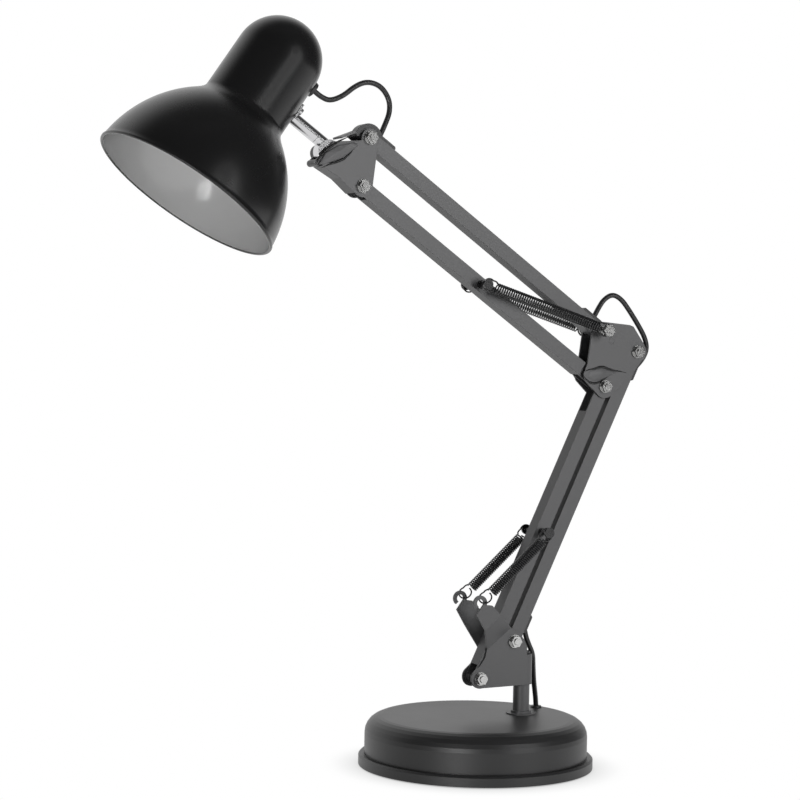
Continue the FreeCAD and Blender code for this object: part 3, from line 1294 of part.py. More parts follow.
def make_lead():
    lower, upper = size("lower_arm_length"), size("upper_arm_length")
    seat = size("lead_seat")

    def beside(origin, way, station, height):
        """A place at a bar's station, this far out of the bar's axis on the mouth's side."""
        return origin.along(way, station, -Size.of(height))

    low_way = [beside(right_foot, LOWER_WAY, s, h) for s, h in ((16.0, 6.0), (9.0, 11.0))]
    top_way = [beside(right_foot, LOWER_WAY, lower - s, h) for s, h in ((16.5, 5.7), (8.3, 9.0))]
    elbow_way = [beside(upper_root, UPPER_WAY, s, h) for s, h in ((20.2, 5.2), (20.5, 10.0))]
    head_way = [beside(upper_root, UPPER_WAY, upper - s, h) for s, h in ((8.0, 5.4), (7.4, 10.6))]
    make_clip("lower_lead_clip_bottom", right_foot, LOWER_ANGLE, Size(9.0), Size(24.0), low_way)
    make_clip("lower_lead_clip_top", right_foot, LOWER_ANGLE, lower - 22.0, lower - 9.0, top_way)
    make_clip("upper_lead_clip_elbow", upper_root, UPPER_ANGLE, Size(14.0), Size(34.0), elbow_way)
    make_clip("upper_lead_clip_head", upper_root, UPPER_ANGLE, upper - 22.0, upper, head_way,
              nose_at=upper)

    def inside(origin, way, start, end):
        ends = [origin.along(way, station, seat) for station in (start, end)]
        return [(float(s.x), 0.0, float(s.z)) for s in ends]

    lead_tube("lead_in_lower_arm", inside(right_foot, LOWER_WAY, Size(24.0), lower - 22.0))
    lead_tube("lead_in_upper_arm", inside(upper_root, UPPER_WAY, Size(34.0), upper - 22.0))

    def end(spot):
        return (float(spot.x), 0.0, float(spot.z))

    dome, cord = size("dome_radius"), size("cord_station")
    bush_inside, bush_outside = dome - size("bush_grip") - 1.4, dome + size("bush_lip") + 0.4
    lead_tube("lead_loop_head", [
        end(shade_spot(bush_inside, cord)), end(shade_spot(bush_outside, cord)),
        (-138.6, 0.3, 502.6), (-131.3, 1.0, 500.3), (-120.6, 1.6, 504.6), (-109.9, 2.2, 513.3),
        (-100.0, 2.4, 516.9), (-89.6, 2.0, 514.2), (-82.8, 1.2, 504.9), (-82.4, 0.7, 495.1),
        (-86.1, 0.2, 486.2), end(head_way[1]), end(head_way[0]),
    ])
    lead_tube("lead_loop_elbow", [
        end(elbow_way[0]), end(elbow_way[1]), (102.0, -0.5, 353.6), (106.0, -1.0, 359.8),
        (113.4, -1.7, 364.3), (121.4, -2.0, 360.6), (128.4, -2.0, 352.6), (138.1, -1.5, 340.2),
        (145.0, -1.0, 330.0), (147.2, -0.5, 321.6), (144.2, -0.1, 314.3),
        end(top_way[1]), end(top_way[0]),
    ])
    base_x, base_y = float(base_lead_x), float(base_lead_y)
    base_top = float(size("base_height") + size("grommet_lip"))
    under = base_top - float(size("grommet_lip") + size("cover_wall")) - 1.4
    gland_face = float(cover_radius - size("cover_wall") * 4)
    gland_z = float(size("gland_height"))
    lead_tube("lead_in_base", [
        (0.0, gland_face, gland_z), (0.0, 72.0, gland_z), (1.0, 63.0, 19.0), (4.0, 53.0, 24.4),
        (11.0, 45.0, 27.6), (24.0, 38.5, 28.4), (40.0, 33.0, 27.4), (51.0, 29.2, 26.4),
        (58.8, 25.3, 26.2), (62.9, 22.2, 27.7), (base_x, base_y, 31.6), (base_x, base_y, under),
    ])
    inner_face = float(bush_inside)
    cap_top = float(size("holder_mouth") + size("holder_length") + size("holder_cap_length"))
    inside_shade = [
        (inner_face, cord), (27.4, cord), (24.1, 122.7), (22.3, 126.0), (21.2, 131.0),
        (17.6, 137.6), (11.6, 142.4), (6.0, 143.8), (1.6, 142.4), (0.0, cap_top + 2.2),
        (0.0, cap_top),
    ]
    lead_tube("lead_in_shade", [end(shade_spot(r, station)) for r, station in inside_shade])
    lead_tube("lead_loop_foot", [
        end(low_way[0]), end(low_way[1]), (45.2, 0.6, 91.2), (50.6, 2.8, 82.6),
        (52.9, 6.2, 74.2), (57.4, 12.4, 59.0), (62.0, 17.8, 48.4),
        (base_x, base_y, base_top + 0.6), (base_x, base_y, under),
    ])


# ---------------------------------------------------------------------------------------------
make_base()
make_arms()
make_lower_bracket()
make_fasteners("lower_pivot", [right_foot, left_foot])
make_elbow_bracket()
make_fasteners("elbow_pivot", [right_top, elbow])
make_head_bracket()
make_fasteners("head_pivot", [head_top, head_low])
make_springs()
make_lead()
make_head()

doc.recompute()
for item in doc.Objects:
    if "Invalid" in item.State or "Error" in item.State:
        raise RuntimeError(f"{item.Name} failed: {item.State}")
names = [item.Label for item in PARTS]
if len(set(names)) != len(names):
    raise RuntimeError("two sub-parts share a name")
for item in PARTS:
    if item.Shape.isNull() or not item.Shape.isValid():
        raise RuntimeError(f"{item.Label} has no valid shape")
for item in PARTS:
    item.Shape.exportStep(f"parts/{item.Label}.step")
    box_of = item.Shape.BoundBox
    print(f"{item.Label}: {len(item.Shape.Solids)} solids, {item.Shape.Volume:.0f} mm3, "
          f"x {box_of.XMin:.1f}..{box_of.XMax:.1f} y {box_of.YMin:.1f}..{box_of.YMax:.1f} "
          f"z {box_of.ZMin:.1f}..{box_of.ZMax:.1f}")
print(len(PARTS), "sub-parts")
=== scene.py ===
# %% [markdown]
# # An accordion desk lamp
#
# The lamp stands on a weighted round base. A short post carries a bracket that turns, two pairs of
# channel bars keep their brackets level, four springs balance them, and a bell shade hangs from a
# chrome rod. The measured solids arrive as a frame, in metres, and every piece made here sits in it.

# %% Load the frame
import json
import math

import bmesh
import bpy
from mathutils import Matrix, Vector


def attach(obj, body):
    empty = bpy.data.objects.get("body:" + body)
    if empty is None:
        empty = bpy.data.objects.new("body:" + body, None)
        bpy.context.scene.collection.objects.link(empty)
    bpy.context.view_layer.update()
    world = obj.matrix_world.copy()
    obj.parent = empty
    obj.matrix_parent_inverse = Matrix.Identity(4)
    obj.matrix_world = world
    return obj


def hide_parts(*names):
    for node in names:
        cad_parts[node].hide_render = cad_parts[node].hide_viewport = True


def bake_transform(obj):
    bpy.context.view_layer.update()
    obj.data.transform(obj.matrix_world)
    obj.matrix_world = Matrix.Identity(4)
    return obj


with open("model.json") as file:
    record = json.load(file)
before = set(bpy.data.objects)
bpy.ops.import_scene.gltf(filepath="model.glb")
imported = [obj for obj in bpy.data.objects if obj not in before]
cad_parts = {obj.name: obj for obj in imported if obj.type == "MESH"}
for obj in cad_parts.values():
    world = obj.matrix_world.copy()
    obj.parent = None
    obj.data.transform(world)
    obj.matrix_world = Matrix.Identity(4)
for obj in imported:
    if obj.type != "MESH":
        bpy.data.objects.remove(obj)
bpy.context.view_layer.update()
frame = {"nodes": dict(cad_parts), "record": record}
MM = 0.001

# %% [markdown]
# ## The camera
#
# The camera was solved from pivots and rims that the solids and the photograph share. It looks
# along the direction below from a metre and a half away, through a long lens, slightly rolled.

# %% Camera
AZIMUTH, ELEVATION, ROLL = (math.radians(a) for a in (-25.98, 1.62, 1.05))
LOOK_AT = Vector((-69.9, 0.0, 280.1)) * MM
DISTANCE = 1.6376
FOCAL_PIXELS, PHOTO_WIDTH, SENSOR = 2178.9, 800, 36.0

back = Vector((math.sin(AZIMUTH) * math.cos(ELEVATION),
               -math.cos(AZIMUTH) * math.cos(ELEVATION), math.sin(ELEVATION)))
level = Vector((math.cos(AZIMUTH), math.sin(AZIMUTH), 0.0))
upright = back.cross(level)
right = level * math.cos(ROLL) + upright * math.sin(ROLL)
up = upright * math.cos(ROLL) - level * math.sin(ROLL)

lens = bpy.data.cameras.new("photo_camera")
lens.sensor_fit = "HORIZONTAL"
lens.sensor_width = SENSOR
lens.lens = FOCAL_PIXELS * SENSOR / PHOTO_WIDTH
camera = bpy.data.objects.new("photo_camera", lens)
bpy.context.scene.collection.objects.link(camera)
camera.matrix_world = Matrix((
    (right.x, up.x, back.x, 0), (right.y, up.y, back.y, 0), (right.z, up.z, back.z, 0),
    (0, 0, 0, 1),
))
camera.location = LOOK_AT + back * DISTANCE
bpy.context.scene.camera = camera
print(f"camera: {lens.lens:.1f} mm lens, {DISTANCE:.2f} m away")

# %% [markdown]
# ## Writing node trees as sums
#
# A node tree is a long list of boxes and links. Two small classes make it read like arithmetic:
# `Net` adds any node in one call, and `Wire` stands for a socket that can be added, multiplied or
# subtracted, where each operator adds the Math node for it.


# %% Net and Wire
class Wire:
    """One output socket; operators on it add Math nodes."""

    def __init__(self, net, socket):
        self.net, self.socket = net, socket

    def math(self, operation, *others):
        values = dict(enumerate((self, *others)))
        kind = "ShaderNodeMath"
        return self.net.node(kind, {"operation": operation}, values)[0]

    def __add__(self, other):
        return self.math("ADD", other)

    def __sub__(self, other):
        return self.math("SUBTRACT", other)

    def __mul__(self, other):
        return self.math("MULTIPLY", other)

    def __truediv__(self, other):
        return self.math("DIVIDE", other)

    def __gt__(self, other):
        return self.math("GREATER_THAN", other)

    def __rsub__(self, other):
        return self.math("MULTIPLY", -1.0).math("ADD", other)

    __radd__, __rmul__ = __add__, __mul__


class Net:
    """A node tree with one method that adds any node."""

    def __init__(self, tree):
        self.tree = tree

    def node(self, kind, settings=None, values=None):
        """Add a node, set its settings, then set or link its inputs; give back its outputs."""
        made = self.tree.nodes.new(kind)
        for name, value in (settings or {}).items():
            setattr(made, name, value)
        for name, value in (values or {}).items():
            self.feed(made.inputs[name], value)
        return Outputs(self, made)

    def feed(self, socket, value):
        if isinstance(value, Wire):
            self.tree.links.new(value.socket, socket)
        else:
            socket.default_value = value


class Outputs:
    """The outputs of a node by name or number."""

    def __init__(self, net, made):
        self.net, self.made = net, made

    def __getitem__(self, name):
        return Wire(self.net, self.made.outputs[name])


# %% [markdown]
# ## Finishes
#
# Most of this lamp is sheet steel with a satin powder coat: a fine, even orange peel that breaks
# up reflections, on edges that the paint has rounded. The Bevel node rounds the shading of each
# sharp edge, and a fine noise bump on top of it gives the grain. Both read Object coordinates, so
# they stay put on a piece that swings.


# %% The base of every finish
def rgba(colour):
    return (*colour, 1.0)


def finish(name, colour, roughness, grain_size, grain_depth, metallic=0.0, edge=0.35,
           mottle=0.06, rough_mottle=0.06, coat=0.0, specular=0.5, mottle_size=45.0):
    """A material with grain, faint mottling and rounded edges; sizes are in millimetres."""
    material = bpy.data.materials.new(name)
    material.use_nodes = True
    material.node_tree.nodes.clear()
    net = Net(material.node_tree)
    place = net.node("ShaderNodeTexCoord")["Object"]
    grain = net.node("ShaderNodeTexNoise", values={
        "Vector": place, "Scale": 1.0 / (grain_size * MM), "Detail": 2.0, "Roughness": 0.5})[0]
    cloud = net.node("ShaderNodeTexNoise", values={
        "Vector": place, "Scale": 1.0 / (mottle_size * MM), "Detail": 4.0, "Roughness": 0.6})[0]
    dark = tuple(c * (1.0 - mottle) for c in colour)
    pale = tuple(min(1.0, c * (1.0 + mottle)) for c in colour)
    mixed = net.node("ShaderNodeMix", {"data_type": "RGBA"}, {
        0: cloud, 6: rgba(dark), 7: rgba(pale)})[2]
    soft = net.node("ShaderNodeBevel", {"samples": 4}, {"Radius": edge * MM})[0]
    bumped = net.node("ShaderNodeBump", values={
        "Height": grain, "Strength": 0.35, "Distance": grain_depth * MM, "Normal": soft})[0]
    surface = net.node("ShaderNodeBsdfPrincipled", values={
        "Base Color": mixed, "Roughness": roughness + (cloud - 0.5) * rough_mottle,
        "Metallic": metallic, "Normal": bumped, "Coat Weight": coat,
        "Specular IOR Level": specular})
    net.node("ShaderNodeOutputMaterial", values={"Surface": surface[0]})
    material["surface"] = surface.made.name
    return material


# %% The lamp's finishes
ARM_GREY, BASE_GREY = (0.08, 0.08, 0.082), (0.014, 0.014, 0.0145)
arm_coat = finish("arm_powder_coat", ARM_GREY, 0.46, 0.55, 0.035)
base_coat = finish("base_powder_coat", BASE_GREY, 0.42, 0.5, 0.03)
shade_coat = finish("shade_satin_black", (0.005, 0.005, 0.0052), 0.27, 0.7, 0.008, mottle=0.1)
enamel = finish("shade_pale_enamel", (0.72, 0.72, 0.72), 0.11, 1.2, 0.004, coat=0.3, edge=0.1)
zinc = finish("bright_zinc", (0.5, 0.5, 0.495), 0.2, 0.3, 0.002, metallic=1.0, edge=0.25,
              rough_mottle=0.05, mottle_size=9.0)
chrome = finish("polished_chrome", (0.62, 0.62, 0.63), 0.16, 2.0, 0.004, metallic=1.0,
                rough_mottle=0.05, mottle_size=9.0)
spring_black = finish("oiled_black_wire", (0.014, 0.014, 0.015), 0.25, 0.4, 0.01, edge=0.05,
                      rough_mottle=0.1, mottle_size=4.0)
nylon = finish("moulded_black_nylon", (0.02, 0.02, 0.021), 0.42, 0.25, 0.02)
sheath = finish("lead_sheath", (0.014, 0.014, 0.0145), 0.36, 0.8, 0.02, edge=0.1)
bakelite = finish("holder_moulding", (0.035, 0.035, 0.035), 0.3, 0.6, 0.01)
brass = finish("bare_brass", (0.72, 0.56, 0.27), 0.24, 0.3, 0.01, metallic=1.0,
               mottle_size=6.0)
iron = finish("cast_iron", (0.11, 0.11, 0.11), 0.62, 1.6, 0.3, metallic=0.6)
felt = finish("black_felt", (0.018, 0.018, 0.018), 0.95, 0.35, 0.4, edge=0.1, mottle=0.3,
              mottle_size=1.5, specular=0.1)
print("finishes:", len(bpy.data.materials))

# %% [markdown]
# ## Dressing the solids
#
# The brackets, bars, bolts and the base come straight from the measured solids. Their shape is
# right, so each only gets the finish of its material slot.

# %% A finish for each slot
FINISH_OF_SLOT = {
    "arm_paint": arm_coat, "base_paint": base_coat, "shade_paint": shade_coat,
    "zinc_steel": zinc, "chrome": chrome, "spring_black": spring_black,
    "black_plastic": nylon, "lead_sheath": sheath, "holder_plastic": bakelite,
    "brass": brass, "cast_iron": iron, "felt": felt,
}
for entry in frame["record"]["subparts"]:
    solid = frame["nodes"][entry["node"]]
    solid.data.materials.clear()
    solid.data.materials.append(FINISH_OF_SLOT[entry["material_slot"]])


# %% [markdown]
# ## Making a mesh piece
#
# Every new piece is a plain mesh at the origin, with its place in its vertices. One helper links
# the object, and a second one turns a profile round an axis, as a lathe or a spinning chuck does.


# %% Mesh helpers
def place_at(x, z, y=0.0):
    """A point of the arm plane, given in millimetres."""
    return Vector((x, y, z)) * MM


def add_piece(name, vertices, faces, *materials, smooth=True):
    mesh = bpy.data.meshes.new(name)
    mesh.from_pydata([tuple(v) for v in vertices], [], faces)
    mesh.validate()
    for material in materials:
        mesh.materials.append(material)
    work = bmesh.new()
    work.from_mesh(mesh)
    bmesh.ops.remove_doubles(work, verts=work.verts, dist=1e-7)
    bmesh.ops.recalc_face_normals(work, faces=work.faces)
    work.to_mesh(mesh)
    work.free()
    mesh.polygons.foreach_set("use_smooth", [smooth] * len(mesh.polygons))
    piece = bpy.data.objects.new(name, mesh)
    bpy.context.scene.collection.objects.link(piece)
    return piece


def lathe(name, profile, frame_matrix, steps, *materials, material_of=None):
    """Turn a closed loop of (radius, height) points about the local Z axis."""
    vertices, faces = [], []
    count = len(profile)
    for k in range(steps):
        turn = 2 * math.pi * k / steps
        for radius, height in profile:
            local = Vector((radius * math.cos(turn), radius * math.sin(turn), height)) * MM
            vertices.append(frame_matrix @ local)
    for k in range(steps):
        here, after = k * count, (k + 1) % steps * count
        for j in range(count):
            following = (j + 1) % count
            if profile[j][0] == 0 and profile[following][0] == 0:
                continue
            faces.append((here + j, after + j, after + following, here + following))
    piece = add_piece(name, vertices, faces, *materials)
    if material_of:
        inverse = frame_matrix.inverted()
        for polygon in piece.data.polygons:
            local = inverse @ polygon.center / MM
            normal = inverse.to_3x3() @ polygon.normal
            polygon.material_index = material_of(math.hypot(local.x, local.y), local, normal)
    return piece


# %% [markdown]
# ## The leads
#
# One round black lead runs up the lamp. It hides in the channels of two bars and shows as three
# loops, at the foot, the elbow and the head. Each loop is one NURBS curve, because a lead bends
# smoothly. A loop that crosses two joints is cut where it passes the part between them, one
# stretch for each joint; both halves follow the same curve and meet exactly.

# %% Where the pivots are
JOINT_AT = {j["name"]: Vector(j["pos_m"]) for j in frame["record"]["behaviour"]["joints"]}
LEAD_RADIUS, LEAD_SEAT = 2.0, 2.0
BASE_EXIT = (64.5, 20.58)


class Line:
    """A line in the arm plane; at() gives a place by its run along it and its height over it."""

    def __init__(self, origin, way):
        self.origin, self.way = origin, way
        self.aside = Vector((-way.z, 0.0, way.x))

    def at(self, run, height=0.0):
        return tuple(self.origin + self.way * run + self.aside * height)


def direction(degrees):
    """A direction in the arm plane, measured from +Z towards +X."""
    return Vector((math.sin(math.radians(degrees)), 0.0, math.cos(math.radians(degrees))))


FOOT = Line(JOINT_AT["lower_arm"] / MM, direction(25.2))
ROOT = Line(JOINT_AT["upper_arm"] / MM, direction(-55.3))
SHADE_LEAN = 34.6
SHADE_UP, SHADE_OUT = direction(SHADE_LEAN), direction(SHADE_LEAN + 90.0)
RIM_CENTRE = JOINT_AT["shade_tilt"] / MM - SHADE_UP * 91.4 - SHADE_OUT * 69.8
SHADE = Line(RIM_CENTRE, SHADE_OUT)


def smooth_line(name, points):
    """The points of a NURBS curve with these control points, read back as a plain mesh."""
    curve = bpy.data.curves.new(name, "CURVE")
    curve.dimensions = "3D"
    curve.resolution_u = 12
    spline = curve.splines.new("NURBS")
    spline.points.add(len(points) - 1)
    for slot, point in zip(spline.points, points):
        slot.co = (*point, 1.0)
    spline.order_u = 3
    spline.use_endpoint_u = True
    carrier = bpy.data.objects.new(name, curve)
    bpy.context.scene.collection.objects.link(carrier)
    bpy.context.view_layer.update()
    line = bpy.data.meshes.new_from_object(
        carrier.evaluated_get(bpy.context.evaluated_depsgraph_get()))
    path = [v.co.copy() for v in line.vertices]
    bpy.data.objects.remove(carrier)
    bpy.data.meshes.remove(line)
    return path


def carried_frames(path):
    """Two directions across the path at each point, carried along without twisting."""
    ways = []
    for k in range(len(path)):
        ways.append((path[min(k + 1, len(path) - 1)] - path[max(k - 1, 0)]).normalized())
    side = ways[0].orthogonal().normalized()
    frames = []
    for way in ways:
        side = (side - way * side.dot(way)).normalized()
        frames.append((side, way.cross(side)))
    return frames


def tube(name, path, frames, radius, first, last, *materials, sides=20):
    """A closed tube along the stretch of a path between two of its points."""
    vertices, faces = [], []
    for k in range(first, last + 1):
        side, other = frames[k]
        for s in range(sides):
            turn = 2 * math.pi * s / sides
            vertices.append(path[k] + (side * math.cos(turn) + other * math.sin(turn)) * radius)
    rings = last - first + 1
    for r in range(rings - 1):
        for s in range(sides):
            t = (s + 1) % sides
            faces.append((r * sides + s, r * sides + t, (r + 1) * sides + t, (r + 1) * sides + s))
    for ring in (0, rings - 1):
        faces.append(tuple(ring * sides + s for s in range(sides)))
    return add_piece(name, vertices, faces, *materials)


def lead(node, points, cuts, stretches):
    """Make a lead in stretches; a stretch with one body is attached to it, one with two bodies is
    left unattached.
    """
    path = smooth_line(node, [Vector(p) * MM for p in points])
    frames = carried_frames(path)
    stops = [0] + [round(c * (len(path) - 1)) for c in cuts] + [len(path) - 1]
    for number, bodies in enumerate(stretches):
        first, last = stops[number], stops[number + 1]
        name = f"{node}_{number + 1}" if len(stretches) > 1 else f"{node}_round"
        piece = tube(name, path, frames, LEAD_RADIUS * MM, first, last, sheath)
        if len(bodies) == 2:
            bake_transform(piece)
        else:
            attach(piece, bodies[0])
        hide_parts(node)
    length = sum((q - p).length for p, q in zip(path, path[1:]))
    print(f"{node}: {length / MM:.0f} mm of lead")


# %% The three loops
lead("lead_loop_head", [
    SHADE.at(29.3, 121.4), SHADE.at(35.5, 121.4), (-138.6, 0.3, 502.6), (-131.3, 1.0, 500.3),
    (-120.6, 1.6, 504.6), (-109.9, 2.2, 513.3), (-100.0, 2.4, 516.9), (-89.6, 2.0, 514.2),
    (-82.8, 1.2, 504.9), (-82.4, 0.7, 495.1), (-86.1, 0.2, 486.2),
    ROOT.at(250.1, -10.6), ROOT.at(249.5, -5.4),
], (0.3, 0.66), (("shade", "knuckle"), ("knuckle", "head_bracket"),
                 ("head_bracket", "upper_upper_bar")))
lead("lead_loop_elbow", [
    ROOT.at(20.2, -5.2), ROOT.at(20.5, -10.0), (102.0, -0.5, 353.6), (106.0, -1.0, 359.8),
    (113.4, -1.7, 364.3), (121.4, -2.0, 360.6), (128.4, -2.0, 352.6), (138.1, -1.5, 340.2),
    (145.0, -1.0, 330.0), (147.2, -0.5, 321.6), (144.2, -0.1, 314.3),
    FOOT.at(239.7, -9.0), FOOT.at(231.5, -5.7),
], (0.5,), (("upper_upper_bar", "elbow"), ("elbow", "lower_right_bar")))
lead("lead_loop_foot", [
    FOOT.at(16.0, -6.0), FOOT.at(9.0, -11.0), (45.2, 0.6, 91.2), (50.6, 2.8, 82.6),
    (52.9, 6.2, 74.2), (57.4, 12.4, 59.0), (62.0, 17.8, 48.4), (*BASE_EXIT, 39.2),
    (*BASE_EXIT, 34.6),
], (0.45,), (("lower_right_bar", "lower_bracket"), ("lower_bracket", "base")))

# %% The hidden stretches
lead("lead_in_base", [
    (0.0, 80.7, 18.0), (0.0, 72.0, 18.0), (1.0, 63.0, 19.0), (4.0, 53.0, 24.4),
    (11.0, 45.0, 27.6), (24.0, 38.5, 28.4), (40.0, 33.0, 27.4), (51.0, 29.2, 26.4),
    (58.8, 25.3, 26.2), (62.9, 22.2, 27.7), (*BASE_EXIT, 31.6), (*BASE_EXIT, 34.6),
], (), (("base",),))
lead("lead_in_shade", [SHADE.at(radius, station) for radius, station in (
    (29.3, 121.4), (27.4, 121.4), (24.1, 122.7), (22.3, 126.0), (21.2, 131.0), (17.6, 137.6),
    (11.6, 142.4), (6.0, 143.8), (1.6, 142.4), (0.0, 138.2), (0.0, 136.0))], (), (("shade",),))
for node, line, start, end, body in (
        ("lead_in_lower_arm", FOOT, 24.0, 226.0, "lower_right_bar"),
        ("lead_in_upper_arm", ROOT, 34.0, 235.5, "upper_upper_bar")):
    run = [line.at(start + (end - start) * k / 6, LEAD_SEAT) for k in range(7)]
    lead(node, run, (), ((body,),))

# %% [markdown]
# ## The shade
#
# The shade is one spun sheet: a bell that narrows through a tight curve into a straight neck with
# a round top. Spinning gives a wall of even thickness, a rolled rim, and paint outside with pale
# enamel inside. The profile below is turned about the shade's own leaning axis.

# %% The shade's profile
SHADE_FRAME = Matrix((
    (SHADE_OUT.x, 0.0, SHADE_UP.x, RIM_CENTRE.x * MM), (0.0, 1.0, 0.0, 0.0),
    (SHADE_OUT.z, 0.0, SHADE_UP.z, RIM_CENTRE.z * MM), (0.0, 0.0, 0.0, 1.0),
))
RIM_RADIUS, NECK_RADIUS, SHADE_HEIGHT, WALL, BEAD = 72.0, 32.5, 154.0, 1.0, 1.3
BELL_MIDDLE, BELL_TOP, NECK_START = (62.4, 36.0), (39.6, 66.0), 76.0


def circle_centre(a, b, c):
    (ax, ay), (bx, by), (cx, cy) = a, b, c
    d = 2 * (ax * (by - cy) + bx * (cy - ay) + cx * (ay - by))
    sa, sb, sc = ax * ax + ay * ay, bx * bx + by * by, cx * cx + cy * cy
    return ((sa * (by - cy) + sb * (cy - ay) + sc * (ay - by)) / d,
            (sa * (cx - bx) + sb * (ax - cx) + sc * (bx - ax)) / d)


def arc(centre, radius, start, end, steps):
    turns = [start + (end - start) * k / steps for k in range(steps + 1)]
    return [(centre[0] + radius * math.cos(t), centre[1] + radius * math.sin(t)) for t in turns]


def curve_through(start, corner, end, steps):
    """A quadratic curve that leaves and arrives along the sides of its corner."""
    points = []
    for k in range(steps + 1):
        t = k / steps
        a, b, c = (1 - t) ** 2, 2 * t * (1 - t), t * t
        points.append(tuple(a * p + b * q + c * r for p, q, r in zip(start, corner, end)))
    return points


def shade_line(inset):
    """The wall's line from the rim to the pole, moved inwards by inset."""
    centre = circle_centre((RIM_RADIUS, 0.0), BELL_MIDDLE, BELL_TOP)
    radius = math.dist(centre, (RIM_RADIUS, 0.0))
    low = math.asin(-centre[1] / (radius - inset))
    high = math.atan2(BELL_TOP[1] - centre[1], BELL_TOP[0] - centre[0])
    bell = arc(centre, radius - inset, low, high, 40)
    neck_r = NECK_RADIUS - inset
    slope = math.tan(high + math.pi / 2)
    end_r, end_z = bell[-1]
    corner = (neck_r, end_z + (neck_r - end_r) * slope)
    throat = curve_through(bell[-1], corner, (neck_r, NECK_START), 12)
    crown = SHADE_HEIGHT - NECK_RADIUS
    dome = arc((0.0, crown), neck_r, 0.0, math.pi / 2, 24)
    dome[-1] = (0.0, crown + neck_r)
    return bell + throat[1:] + dome


outside = shade_line(0.0)
inside = shade_line(WALL)
bead = arc((RIM_RADIUS - WALL / 2, 0.0), BEAD, math.radians(-160), math.radians(25), 12)
loop = bead + outside[1:] + list(reversed(inside))[:-1]


def shade_material(radius, local, normal):
    """Faces that look towards the axis are enamel, above the rolled rim."""
    if local.z < 0.6:
        return 0
    radial = Vector((local.x, local.y, 0.0)).normalized()
    crown = SHADE_HEIGHT - NECK_RADIUS
    outwards = radial if local.z < crown else Vector((local.x, local.y, local.z - crown))
    return 1 if normal.dot(outwards) < 0 else 0


shade = lathe("shade_spun_shell", loop, SHADE_FRAME, 160, shade_coat, enamel,
              material_of=shade_material)
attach(shade, "shade")
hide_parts("shade_shell")
print("shade:", len(shade.data.polygons), "faces")

# %% [markdown]
# ## The springs
#
# Four close-coiled springs balance the arms. A coil is a rule, not a drawing, so Geometry Nodes
# make it: a spiral for the body and, for each end, a short bend and a nearly closed ring, all
# swept with a round wire. The two ends are the same shape, turned half round. The tree's inputs
# are the real sizes. The result is read back as a plain mesh.

# %% The spring's node tree
SPRING_SIZES = ("Turns", "Coil Radius", "Wire Radius", "Body Length", "Ring Radius", "Neck", "Bend")


def spring_tree():
    tree = bpy.data.node_groups.new("coil_spring", "GeometryNodeTree")
    tree.interface.new_socket("Geometry", in_out="OUTPUT", socket_type="NodeSocketGeometry")
    for name in SPRING_SIZES:
        tree.interface.new_socket(name, in_out="INPUT", socket_type="NodeSocketFloat")
    tree.interface.new_socket("Wire Finish", in_out="INPUT", socket_type="NodeSocketMaterial")
    net = Net(tree)
    given = net.node("NodeGroupInput")

    def point(x, y, z):
        return net.node("ShaderNodeCombineXYZ", values={"X": x, "Y": y, "Z": z})[0]

    def moved(geometry, turn, shift):
        return net.node("GeometryNodeTransform", values={
            "Geometry": geometry, "Rotation": turn, "Translation": shift})["Geometry"]

    coil, length, ring_radius = given["Coil Radius"], given["Body Length"], given["Ring Radius"]
    body = net.node("GeometryNodeCurveSpiral", values={
        "Resolution": 24, "Rotations": given["Turns"], "Start Radius": coil,
        "End Radius": coil, "Height": length})["Curve"]
    aside, below = given["Bend"] * -1.0, (given["Neck"] + given["Bend"]) * -1.0
    ring = net.node("GeometryNodeCurveArc", {"mode": "RADIUS"}, {
        "Resolution": 40, "Radius": ring_radius, "Start Angle": math.radians(30.0),
        "Sweep Angle": math.radians(-300.0)})["Curve"]
    ring = moved(ring, (math.radians(90.0), 0.0, 0.0), point(0.0, aside, below))
    joint = net.node("GeometryNodeCurvePrimitiveBezierSegment", {"mode": "POSITION"}, {
        "Resolution": 12, "Start": point(coil, 0.0, 0.0), "Start Handle": point(coil, aside, 0.0),
        "End Handle": point(coil + given["Bend"] * 0.6, aside, below * 0.35),
        "End": point(ring_radius * math.cos(math.radians(30.0)), aside,
                     below + ring_radius * math.sin(math.radians(30.0)))})["Curve"]

    def joined(*parts):
        join = tree.nodes.new("GeometryNodeJoinGeometry")
        for part in parts:
            tree.links.new(part.socket, join.inputs[0])
        return Wire(net, join.outputs[0])

    end = joined(ring, joint)
    half_round = moved(end, (math.pi, 0.0, 0.0), (0.0, 0.0, 0.0))
    far_end = moved(half_round, point(0.0, 0.0, given["Turns"] * 2.0 * math.pi),
                    point(0.0, 0.0, length))
    circle = net.node("GeometryNodeCurvePrimitiveCircle", {"mode": "RADIUS"}, {
        "Resolution": 10, "Radius": given["Wire Radius"]})["Curve"]
    swept = net.node("GeometryNodeCurveToMesh", values={
        "Curve": joined(body, end, far_end), "Profile Curve": circle, "Fill Caps": True})["Mesh"]
    smooth = net.node("GeometryNodeSetShadeSmooth", values={"Geometry": swept})["Geometry"]
    real = net.node("GeometryNodeRealizeInstances", values={"Geometry": smooth})["Geometry"]
    coloured = net.node("GeometryNodeSetMaterial", values={
        "Geometry": real, "Material": given["Wire Finish"]})["Geometry"]
    net.node("NodeGroupOutput", values={"Geometry": coloured})
    return tree


SPRING = spring_tree()
WIRE_RADIUS, COIL_RADIUS = 0.6, 3.75
RING_RADIUS, RING_NECK, BEND = 4.9, 5.1, 1.725


